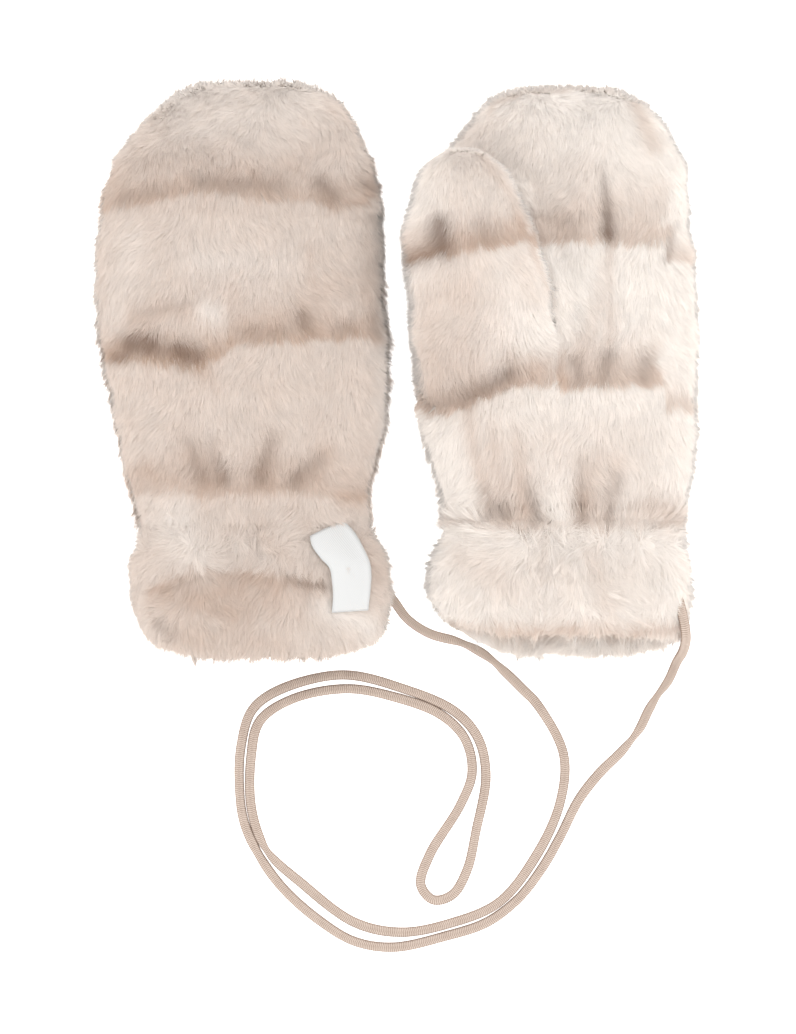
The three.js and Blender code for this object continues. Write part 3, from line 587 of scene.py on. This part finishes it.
def readMesh(mesh):
    points = np.empty(len(mesh.vertices) * 3, dtype=np.float32)
    mesh.vertices.foreach_get("co", points)
    normals = np.empty(len(mesh.vertices) * 3, dtype=np.float32)
    mesh.vertex_normals.foreach_get("vector", normals)
    mesh.calc_loop_triangles()
    triangles = np.empty(len(mesh.loop_triangles) * 3, dtype=np.int32)
    mesh.loop_triangles.foreach_get("vertices", triangles)
    return points.reshape(-1, 3).astype(float), normals.reshape(-1, 3).astype(float), triangles.reshape(-1, 3)


def joinedTree(meshes):
    # one tree for rays and nearest places on several meshes
    places, faces = [], []
    for mesh in meshes:
        points, _, triangles = readMesh(mesh)
        faces.extend(map(tuple, triangles + len(places)))
        places.extend(map(tuple, points))
    return BVHTree.FromPolygons(places, faces)


def softShell(node, voxel, passes, neighbours, melts):
    # the solid's own form, with its facets and lock courses softened away from its seams
    form = bmesh.new()
    form.from_mesh(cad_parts[node].data)
    bmesh.ops.remove_doubles(form, verts=form.verts, dist=0.02 * mm)
    mesh = bpy.data.meshes.new(node + "Shell")
    form.to_mesh(mesh)
    form.free()
    shell = newObject(node + "Shell", mesh)
    remesh = shell.modifiers.new("even", "REMESH")
    remesh.mode = "VOXEL"
    remesh.voxel_size = voxel * mm
    bpy.context.view_layer.update()
    even = bpy.data.meshes.new_from_object(shell.evaluated_get(bpy.context.evaluated_depsgraph_get()))
    bpy.data.objects.remove(shell)
    form = bmesh.new()
    form.from_mesh(even)
    form.verts.ensure_lookup_table()
    form.normal_update()
    toSeam = np.array([neighbours.find_nearest(vertex.co)[3] for vertex in form.verts]) / mm
    held = toSeam <= fur["seamReach"]
    if melts is not None:
        # the border between thumb and palm is no sewn edge
        held &= np.array([vertex.co.y < -45 * mm or max(melts, vertex.normal.z) < 0.5 for vertex in form.verts])
    for turn in range(passes):
        free = [vertex for vertex, still in zip(form.verts, held) if turn < 2 or not still]
        bmesh.ops.smooth_vert(form, verts=free, factor=0.5, use_axis_x=True, use_axis_y=True, use_axis_z=True)
    form.to_mesh(even)
    form.free()
    return even, toSeam


def fillFoot(mesh, thumb, foot):
    # raises the palm to the foot of the thumb, where the one runs into the other
    for vertex in mesh.vertices:
        x, y, z = vertex.co / mm
        if vertex.normal.z < 0.3 or not (foot["low"] < y < 105 and x < foot["right"]):
            continue
        if thumb.ray_cast(vertex.co, Vector((0, 0, 1)))[0]:
            continue
        place, _, _, gap = thumb.find_nearest(vertex.co)
        reach = foot["reach"] + (foot["besideReach"] - foot["reach"]) * float(ease(y, 10, foot["high"]))
        if gap / mm > reach:
            continue
        inward = (place - vertex.co).to_2d().normalized() * 3
        hit = thumb.ray_cast(Vector((place.x / mm + inward.x, place.y / mm + inward.y, 200)) * mm, Vector((0, 0, -1)))[0]
        if hit:
            low = float(1 - ease(y, foot["high"] - 16, foot["high"]))
            share = (1 - gap / mm / reach) * max(low, foot["beside"] * float(1 - ease(y, 85, 105)))
            vertex.co.z += max(0, 0.75 * (hit.z - vertex.co.z) * share)


def spread(values, triangles, passes):
    # evens out a value over neighbouring points
    ends = np.vstack([triangles[:, [0, 1]], triangles[:, [1, 2]], triangles[:, [2, 0]]])
    count = np.bincount(ends.ravel(), minlength=len(values))
    for _ in range(passes):
        total = np.bincount(ends[:, 0], values[ends[:, 1]], len(values))
        total += np.bincount(ends[:, 1], values[ends[:, 0]], len(values))
        values = 0.4 * values + 0.6 * total / np.maximum(count, 1)
    return values


def unit(vectors):
    return vectors / np.maximum(np.linalg.norm(vectors, axis=1), 1e-9)[:, None]


def openToAir(points, normals, wall):
    # 1 where a point of the shell looks outside, 0 where it faces the hollow or the next panel
    looks = [(0, 0, 0), (0.9, 0, 0), (-0.9, 0, 0), (0, 0.9, 0), (0, -0.9, 0), (0, 0, 0.9)]
    seen = np.zeros(len(points))
    for i, (point, normal) in enumerate(zip(points, normals)):
        start = Vector(point + normal * 0.8 * mm)
        for look in looks:
            if wall.ray_cast(start, Vector(normal + look).normalized(), 0.4)[0] is None:
                seen[i] = 1
                break
    return seen


fur = {
    "pile": 2.2,  # depth of the loose tips over the dense underfur
    "hairLength": 8,
    "hairWidth": 0.42,
    "stands": 16,  # degrees off the underfur
    "wander": 8,  # degrees that a hair strays from the nap
    "swirl": 18,
    "curls": 7,  # degrees, over a short stretch
    "lockEvery": 24,  # one lock for so many hairs
    "lockPull": 0.5,
    "tufts": 0.09,  # how far the light turns from tuft to tuft
    "loose": 0.07,  # share of the hairs that stand up out of the pile
    "fringe": 0.45,  # share of the hairs at the outline that stand out from it
    "fringeHair": 7,
    "hidden": 0.35,  # thickness of the fur underneath, beside that on top
    "voxel": 2.6,
    "smoothing": 9,
    "passesLight": 1.2,
    "seamReach": 6,  # the form keeps its edge this near to the next piece, and its hairs lie over the seam
}
thumbFoot = {"low": -34, "high": 36, "left": 8, "right": 84, "reach": 9, "besideReach": 14, "beside": 0.8}
hands = {
    "right": {
        "middle": -77,
        "half": 72,
        "marks": rightMarks,
        "pieces": {
            "right_back": {"hairs": 165000, "seed": 11, "turnOut": 0.7, "messy": 1.5, "clumps": 1.2},
            "right_palm": {"hairs": 48000, "seed": 12, "turnOut": 0.5},
            "right_thumb": {"hairs": 15000, "seed": 13, "turnOut": 0.4},
            "right_cuff": {"hairs": 125000, "seed": 14, "turnOut": 0.9, "messy": 3, "longer": 1.3, "clumps": 1.6,
                           "slim": 0},
        },
    },
    "left": {
        "middle": 80,
        "half": 68,
        "marks": leftMarks,
        "pieces": {
            "left_palm": {"hairs": 150000, "seed": 21, "turnOut": 0.7, "foot": 9, "messy": 1.5, "clumps": 1.2,
                          "melts": 0},
            "left_thumb": {"hairs": 85000, "seed": 22, "turnOut": 0.8, "middle": 38, "half": 34, "foot": 99,
                           "crest": 0.3, "melts": 1, "border": 4},
            "left_cuff": {"hairs": 125000, "seed": 23, "turnOut": 0.9, "messy": 4, "longer": 1.4, "clumps": 1.8,
                          "slim": 0, "besideCord": True},
            "left_back": {"hairs": 48000, "seed": 24, "turnOut": 0.5},
        },
    },
}


def napAt(places, middle, half, turnOut, seed, messy):
    # the way the fur lies: to the cuff, and outward towards the sides, with slow swirls
    out = np.clip((places[:, 0] - middle) / half, -1.2, 1.2)
    heading = np.stack([turnOut * out * np.abs(out), -np.ones(len(places)), np.full(len(places), -0.1)], 1)
    heading = unit(heading)
    turn = np.radians(fur["swirl"]) * math.sqrt(messy) * waves(places, 46, seed)
    turn += np.radians(fur["curls"]) * messy * waves(places, 15, seed + 1)
    x = heading[:, 0] * np.cos(turn) - heading[:, 1] * np.sin(turn)
    y = heading[:, 0] * np.sin(turn) + heading[:, 1] * np.cos(turn)
    return np.stack([x, y, heading[:, 2]], 1)


def layTexture(places, outward, up, low, size):
    # flattens the piece onto four squares: outside and inside, seen from above and from below
    flatX = (places[:, 0] - low[0]) / size * 0.46 + 0.02
    flatY = (places[:, 1] - low[1]) / size * 0.46 + 0.02
    return np.stack([flatX + 0.5 * (outward < 0.5), flatY + 0.5 * (up < 0)], 1)


def softened(normals):
    # deep fur passes light on, so its sides look nearly as bright as its top
    upward = fur["passesLight"] * ease(normals[:, 2], -0.5, 0.1)
    return unit(normals + np.stack([0 * upward, 0 * upward, upward], 1))


def laidOver(normals, share):
    # turns the normals up by a share, for hairs that lie over a step instead of down it
    level = np.column_stack([normals[:, :2] * (1 - 0.9 * share)[:, None], normals[:, 2]])
    level[:, 2] = np.maximum(level[:, 2], 0.4 * share)
    return unit(level)


def footShare(places, toSeam, reach):
    # 1 where the thumb's foot and the palm run into each other
    x, y = places[:, 0], places[:, 1]
    share = (1 - ease(y, thumbFoot["high"] - 20, thumbFoot["high"])) * ease(x, thumbFoot["left"], thumbFoot["left"] + 16)
    share = share * (x < thumbFoot["right"]) * (y > thumbFoot["low"])
    return share * (1 - ease(toSeam, reach * 0.3, reach))


def growFur(node, plan, hand, shell, toSeam, wall, materials):
    rng = np.random.default_rng(plan["seed"])
    points, normals, triangles = readMesh(shell)
    middle, half = plan.get("middle", hand["middle"]), plan.get("half", hand["half"])
    seen = openToAir(points, normals, wall)
    furry = np.maximum(seen, np.clip(spread(seen, triangles, 4) * 1.5 - 0.3, 0, 1))
    nearSeam = 1 - ease(toSeam, 1, fur["seamReach"])
    atSide = 1 - ease(np.abs(normals[:, 2]), 0.2, 0.7)
    keeps = np.full(len(points), 0.8)
    if "melts" in plan:
        # where the thumb lies on the palm neither has a raised rim
        keeps -= 0.6 * ease(points[:, 1] / mm, -60, -30) * np.maximum(plan["melts"], ease(normals[:, 2], 0.3, 0.7))
    sunk = fur["pile"] * mm * furry * (1 + plan.get("slim", 0.7) * atSide) * (1 - keeps * nearSeam)
    skin = points - normals * sunk[:, None]
    if "foot" in plan:
        normals = laidOver(normals, footShare(points / mm, toSeam, plan["foot"]) * furry)

    # roots are strewn evenly over the furry skin, more thinly underneath
    corners = points[triangles]
    area = np.linalg.norm(np.cross(corners[:, 1] - corners[:, 0], corners[:, 2] - corners[:, 0]), axis=1)
    thick = fur["hidden"] + (1 - fur["hidden"]) * ease(normals[triangles, 2].mean(axis=1), -0.8, -0.4)
    weight = area * furry[triangles].mean(axis=1) * thick
    count = plan["hairs"]
    picked = rng.choice(len(triangles), count, p=weight / weight.sum())
    u, v = rng.random(count), rng.random(count)
    over = u + v > 1
    u[over], v[over] = 1 - u[over], 1 - v[over]
    shares = np.stack([1 - u - v, u, v], 1)[:, :, None]
    chosen = triangles[picked]
    root = (skin[chosen] * shares).sum(axis=1)
    normal = unit((normals[chosen] * shares).sum(axis=1))
    place = (points[chosen] * shares).sum(axis=1) / mm
    # at the wrist the hairs lie over the seam instead of into it
    atSeam = (nearSeam[chosen] * shares[:, :, 0]).sum(axis=1)
    atWrist = atSeam * ease(18 - np.abs(place[:, 1] + 77), 0, 8)
    normal[:, 1] *= 1 - 0.9 * atWrist
    normal = unit(normal)

    nap = napAt(place, middle, half, plan["turnOut"], plan["seed"] % 10, plan.get("messy", 1))
    # the cuff's own hairs reach up over the gathered seam as well, in uneven tufts
    below = -77 - place[:, 1] + 4 * waves(place * (1, 0.3, 1), 18, 41)
    reachUp = (place[:, 1] < -77) & (rng.random(count) < 0.85 * (1 - ease(below, 4, 14)))
    nap[reachUp, 1] *= -1
    along = nap - (nap * normal).sum(axis=1)[:, None] * normal
    flatness = np.linalg.norm(along, axis=1)
    # at the fingertips the nap parts, and hairs of both sides cross there
    mixed = 1 - ease(flatness, 0.35, 0.85)
    along = along + mixed[:, None] * rng.normal(0, 0.45, (count, 3))
    along = unit(along - (along * normal).sum(axis=1)[:, None] * normal + rng.normal(0, 0.02, (count, 3)))
    crossing = rng.random(count) < 0.5 * atSeam * ease(normal[:, 1], 0.3, 0.7)
    along[crossing] *= -1
    aside = np.cross(normal, along)
    stray = np.radians(rng.normal(0, fur["wander"] * math.sqrt(plan.get("messy", 1)), count))
    along = along * np.cos(stray)[:, None] + aside * np.sin(stray)[:, None]
    depth = fur["pile"] * mm * (1 + 0.1 * waves(place, 20, plan["seed"] + 3) + rng.normal(0, 0.12, count))
    length = fur["hairLength"] * mm * rng.uniform(0.7, 1.15, count) * (1 + 0.35 * atWrist + 0.9 * reachUp)
    atHem = ease(-normal[:, 1], 0.1, 0.7)
    length *= plan.get("longer", 1) * (1 - 0.45 * atHem)
    atEdge = 1 - ease(np.abs(normal[:, 2]), 0.2, 0.7)
    atBorder = np.zeros(count)
    if "border" in plan:
        # the outer side of the thumb ends in a thin border, which has its fringe too
        row = np.round((place[:, 1] - place[:, 1].min()) / 2).astype(int)
        outmost = np.full(row.max() + 1, np.inf)
        np.minimum.at(outmost, row, place[:, 0])
        atBorder = 1 - ease(place[:, 0] - outmost[row], plan["border"] / 4, plan["border"])
        atEdge = np.maximum(atEdge, atBorder)
    # where the skin turns across the nap, the hairs stand out straighter
    stands = np.radians(fur["stands"] + 22 * (1 - flatness) + rng.normal(0, 6, count))
    stands *= 1 - 0.75 * np.clip(along[:, 2], 0, 1) * (1 - atEdge)
    stands += np.radians(32) * plan.get("crest", 1) * atEdge * ease(normal[:, 1], 0.2, 0.95)
    loose = rng.random(count) < fur["loose"] * (1 + 3 * atEdge)
    length = length * np.clip(depth / np.maximum(length * np.sin(stands), 1e-6), 0.55, 1.3)
    stands = stands + np.radians(18) * loose
    fringed = rng.random(count) < fur["fringe"] * atEdge
    stands = np.where(fringed, np.radians(rng.uniform(30, 70, count)), stands)
    shorter = 1 - 0.45 * ease(normal[:, 1], 0.5, 0.9) - 0.5 * atHem
    length = np.where(fringed, fur["fringeHair"] * mm * rng.uniform(0.6, 1.1, count) * shorter, length)
    heading = along * np.cos(stands)[:, None] + normal * np.sin(stands)[:, None]
    heading[:, 0] -= 1.2 * atBorder * fringed
    tip = root + unit(heading) * length[:, None]

    # hairs lean into the nearest lock
    locks = rng.choice(count, int(count / fur["lockEvery"] / plan.get("clumps", 1)), replace=False)
    tree = kdtree.KDTree(len(locks))
    for i, lock in enumerate(locks):
        tree.insert(root[lock], i)
    tree.balance()
    lock = np.array([tree.find(place)[1] for place in root])
    pull = rng.uniform(0, fur["lockPull"] * plan.get("clumps", 1), count) * (1 + 0.4 * atEdge) * (1 - 0.7 * loose)
    tip = tip + (tip[locks[lock]] - tip) * pull[:, None]
    if "besideCord" in plan:
        # the hairs of the hem end short of the cord that lies along it
        near = strokeAt(tip / mm, ([place[:2] for place in cordSettings["route"][-7:-2]], (4.5, 4.5), (0.75, 0.75)))
        tip = root + (tip - root) * (1 - near)[:, None]
    tip[:, 2] = np.maximum(tip[:, 2], rng.uniform(0.1, 0.8, count) * mm)  # pressed flat on the surface below

    # each hair turns its flat side to the light
    facing = normal.copy()
    facing[:, 2] = np.maximum(facing[:, 2], np.where(fringed, -0.12, 0.9 * atHem - 1))
    facing = softened(facing)
    ahead = unit(tip - root)
    side = unit(np.cross(ahead, facing))
    roll = np.radians(rng.normal(0, 12, count))[:, None]
    side = side * np.cos(roll) + np.cross(ahead, side) * np.sin(roll)
    wide = fur["hairWidth"] * mm * (rng.uniform(0.6, 1.3, count) * (1 - 0.4 * loose) * (1 + 0.3 * fringed))[:, None]
    # the light falls on the whole pelt, with a little difference from hair to hair
    tufts = np.stack([waves(place, 8, plan["seed"] + 5), waves(place, 11, plan["seed"] + 6)], 1)
    tufts *= fur["tufts"] * math.sqrt(plan.get("messy", 1))
    lit = unit(facing + side * (rng.normal(0, 0.09, count) + tufts[:, 0])[:, None]
               + ahead * (0.08 + tufts[:, 1])[:, None])
    turned = (np.cross(side, ahead) * lit).sum(axis=1) < 0
    side[turned] *= -1
    blades = np.stack([root - side * wide * 0.5, root + side * wide * 0.5, tip], 1).reshape(-1, 3)
    bladeFaces = len(skin) + np.arange(count * 3).reshape(-1, 3)
    mesh = meshFromArrays(node + "Fur", np.vstack([skin, blades]), np.vstack([triangles, bladeFaces]))
    mesh.normals_split_custom_set_from_vertices(np.vstack([softened(normals), np.repeat(lit, 3, axis=0)]))

    seenAt = (root + (tip - root) * 0.7) / mm
    stripe_and_shade, dark_mark_and_shade = shadeAt(asSeen(seenAt + rng.normal(0, 0.6, (count, 3))), hand["marks"])
    skinStripeAndShade, skinDarkMarkAndShade = shadeAt(asSeen(skin / mm), hand["marks"])
    # painted shade: hairs and skin that face sideways or down, the thumb's border and the outline hairs most, are
    # greyed because less light reaches them
    side_shade = np.maximum(ease(-normal[:, 2], -0.5, 0), atBorder) * np.where(fringed, 0.8, 0.2) * (1 - atHem)
    skinSideShade = ease(-normals[:, 2], -0.5, 0) * 0.2
    fleck = 0.6 * rng.random(count) + 0.4 * rng.random(len(locks))[lock]
    values = {
        "stripe_and_shade": np.concatenate([skinStripeAndShade, np.repeat(stripe_and_shade, 3)]),
        "dark_mark_and_shade": np.concatenate([skinDarkMarkAndShade, np.repeat(dark_mark_and_shade, 3)]),
        "side_shade": np.concatenate([skinSideShade, np.repeat(side_shade, 3)]),
        "fleck": np.concatenate([np.full(len(skin), 0.5), np.repeat(fleck, 3)]),
        "tip": np.concatenate([np.full(len(skin), 0.5), np.tile([0.2, 0.2, 1], count)]),
    }
    for name, value in values.items():
        layer = mesh.attributes.new(name, "FLOAT", "POINT")
        layer.data.foreach_set("value", np.ascontiguousarray(value, dtype=np.float32))

    low = points.min(axis=0)
    size = float((points.max(axis=0) - low)[:2].max())
    faceUp = np.repeat(normals[triangles, 2].mean(axis=1), 3)
    faceOut = np.repeat(furry[triangles].mean(axis=1), 3)
    skinUv = layTexture(points[triangles.ravel()], faceOut, faceUp, low, size)
    rootUv = layTexture(root, np.ones(count), normal[:, 2], low, size)
    step = 0.46 * mm / size
    shape = np.array([(-0.4, 0), (0.4, 0), (0, -8)]) * step
    addUv(mesh, "OFBake", np.vstack([skinUv, (rootUv[:, None] + shape[None]).reshape(-1, 2)]))

    inside = (furry[triangles].mean(axis=1) < 0.4) & (toSeam[triangles].min(axis=1) > fur["seamReach"])
    backed = np.concatenate([inside, np.zeros(count, dtype=bool)])
    for material in materials:
        mesh.materials.append(material)
    mesh.polygons.foreach_set("material_index", backed.astype(np.int32))
    piece = newObject(node + "Fur", mesh)
    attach(piece, "root")
    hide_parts(node)
    print(node, "fur:", count, "hairs,", len(mesh.polygons), "triangles")
    return piece


def makeBackingMaterial():
    # the knitted backing that shows inside the hand
    material, tree, shader = newMaterial("furBacking")
    where = tree.nodes.new("ShaderNodeTexCoord").outputs["Object"]
    knit = tree.nodes.new("ShaderNodeTexWave")
    knit.inputs["Scale"].default_value = 160
    knit.inputs["Distortion"].default_value = 1.5
    link(tree, where, knit.inputs["Vector"])
    ramp = tree.nodes.new("ShaderNodeValToRGB")
    ramp.color_ramp.elements[0].color = toLinear(188, 172, 158)
    ramp.color_ramp.elements[1].color = toLinear(214, 201, 188)
    link(tree, knit.outputs["Fac"], ramp.inputs["Fac"])
    link(tree, ramp.outputs["Color"], shader.inputs["Base Color"])
    bump = tree.nodes.new("ShaderNodeBump")
    bump.inputs["Distance"].default_value = 0.3 * mm
    link(tree, knit.outputs["Fac"], bump.inputs["Height"])
    link(tree, bump.outputs["Normal"], shader.inputs["Normal"])
    shader.inputs["Roughness"].default_value = 0.95
    return material


ribbon = {
    # places of its two long edges from the top, in millimetres
    "left": [(-44.2, -84), (-43.2, -88.5), (-38.8, -94.8), (-34.4, -99.8), (-33.2, -106.2), (-32.6, -113), (-33.2, -121.8)],
    "right": [(-28.2, -76), (-22.2, -82.2), (-17.8, -89.8), (-14.6, -97), (-13.8, -103.2), (-14.4, -112), (-15.4, -120.8)],
    "standsOff": 3.0,
    "sewn": 1.0,
    "thickness": 0.4,
    "white": (210, 210, 209),
    "shade": (196, 196, 195),
}


def makeRibbonMaterial():
    material, tree, shader = newMaterial("wovenRibbon")
    where = tree.nodes.new("ShaderNodeTexCoord").outputs["Object"]
    weave = tree.nodes.new("ShaderNodeTexWave")
    weave.bands_direction = "DIAGONAL"
    weave.inputs["Scale"].default_value = 900
    weave.inputs["Distortion"].default_value = 0.8
    link(tree, where, weave.inputs["Vector"])
    ramp = tree.nodes.new("ShaderNodeValToRGB")
    ramp.color_ramp.elements[0].color = toLinear(*ribbon["shade"])
    ramp.color_ramp.elements[1].color = toLinear(*ribbon["white"])
    ramp.color_ramp.elements[1].position = 0.45
    link(tree, weave.outputs["Fac"], ramp.inputs["Fac"])
    link(tree, ramp.outputs["Color"], shader.inputs["Base Color"])
    bump = tree.nodes.new("ShaderNodeBump")
    bump.inputs["Strength"].default_value = 0.4
    bump.inputs["Distance"].default_value = 0.08 * mm
    link(tree, weave.outputs["Fac"], bump.inputs["Height"])
    link(tree, bump.outputs["Normal"], shader.inputs["Normal"])
    shader.inputs["Roughness"].default_value = 0.55
    return material


def heightOf(ground, x, y):
    # a place right over a seam takes the height beside it
    for aside in (0, 1.5, -1.5, 3):
        hit = ground.ray_cast(Vector((x, y + aside, 200)) * mm, Vector((0, 0, -1)))[0]
        if hit:
            return hit.z / mm
    return 0


def makeLabel(ground):
    # a bare ribbon over the fur of the cuff, sewn down at both ends
    rows, columns = 30, 10
    fine = np.linspace(0, 1, rows + 1)
    edges = []
    for name in ("left", "right"):
        line, along = smoothRoute([(x, y, 0) for x, y in ribbon[name]], 0.5)
        edges.append(np.column_stack([np.interp(fine, along / along[-1], line[:, k]) for k in range(2)]))
    side = np.linspace(0, 1, columns + 1)[None, :, None]
    flat = edges[0][:, None] * (1 - side) + edges[1][:, None] * side
    high = np.array([[heightOf(ground, x, y) for x, y in row] for row in flat])
    for _ in range(6):
        padded = np.pad(high, 1, mode="edge")
        near = (padded[:-2, 1:-1] + padded[2:, 1:-1] + padded[1:-1, :-2] + padded[1:-1, 2:]) / 4
        high = np.maximum(high * 0.5 + near * 0.5, near)
    form = bmesh.new()
    bmesh.ops.create_grid(form, x_segments=columns, y_segments=rows, size=0.5)
    for vertex in form.verts:
        row, column = round((0.5 - vertex.co.y) * rows), round((vertex.co.x + 0.5) * columns)
        down, across = row / rows, column / columns
        free = math.sin(math.pi * down) ** 0.4
        ripple = 0.4 * free * math.sin(9 * down + 2 * across) * (1 - across)
        x, y = flat[row, column]
        z = high[row, column] + ribbon["sewn"] + (ribbon["standsOff"] - ribbon["sewn"]) * free + ripple
        vertex.co = Vector((x, y, z)) * mm
    bmesh.ops.recalc_face_normals(form, faces=form.faces)
    if form.faces[0].normal.z < 0:
        bmesh.ops.reverse_faces(form, faces=form.faces)
    bmesh.ops.solidify(form, geom=form.faces[:], thickness=ribbon["thickness"] * mm)
    for face in form.faces:
        face.smooth = True
    mesh = bpy.data.meshes.new("cuffRibbon")
    form.to_mesh(mesh)
    form.free()
    mesh.materials.append(makeRibbonMaterial())
    label = newObject("cuffRibbon", mesh)
    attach(label, "root")
    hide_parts("cuff_label")
    print("label", len(mesh.polygons), "faces")


def makeStage():
    bpy.context.scene.view_settings.view_transform = "Standard"
    world = bpy.data.worlds.new("softRoom")
    world.use_nodes = True
    world.node_tree.nodes["Background"].inputs["Strength"].default_value = lighting["sky"]
    world.node_tree.nodes["Background"].inputs["Color"].default_value = (1, 1, 1, 1)
    bpy.context.scene.world = world
    for name in ("overhead", "side"):
        want = lighting[name]
        data = bpy.data.lights.new(name + "Light", "AREA")
        data.shape = "DISK"
        data.size = want["size"]
        data.energy = want["power"]
        lamp = bpy.data.objects.new(name + "Light", data)
        lamp.location = want["at"]
        lamp.rotation_euler = (-Vector(want["at"])).to_track_quat("-Z", "Y").to_euler()
        bpy.context.scene.collection.objects.link(lamp)
    form = bmesh.new()
    bmesh.ops.create_grid(form, x_segments=1, y_segments=1, size=3)
    mesh = bpy.data.meshes.new("whiteSurface")
    form.to_mesh(mesh)
    form.free()
    floor = newObject("whiteSurface", mesh)
    material, tree, shader = newMaterial("whiteSurface")
    level = lighting["floor"]["albedo"]
    shader.inputs["Base Color"].default_value = (level, level, level, 1)
    shader.inputs["Roughness"].default_value = 0.9
    shader.inputs["Emission Color"].default_value = (1, 1, 1, 1)
    shader.inputs["Emission Strength"].default_value = lighting["floor"]["glow"]
    mesh.materials.append(material)


makeCamera()
makeCord()
print("camera and cord ready")

furMaterials = [makeFurMaterial(makeCoatGroup()), makeBackingMaterial()]
for handName, hand in hands.items():
    shells = {}
    for node in hand["pieces"]:
        others = joinedTree([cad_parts[other].data for other in hand["pieces"] if other != node])
        melts = hand["pieces"][node].get("melts")
        shells[node] = softShell(node, fur["voxel"], fur["smoothing"], others, melts)
    if handName == "left":
        fillFoot(shells["left_palm"][0], joinedTree([shells["left_thumb"][0]]), thumbFoot)
    wall = joinedTree([shell for shell, _ in shells.values()])
    for node, plan in hand["pieces"].items():
        growFur(node, plan, hand, *shells[node], wall, furMaterials)
    if handName == "right":
        rightWall = wall
    print(handName, "hand ready")

makeLabel(rightWall)
makeStage()
print("stage ready")
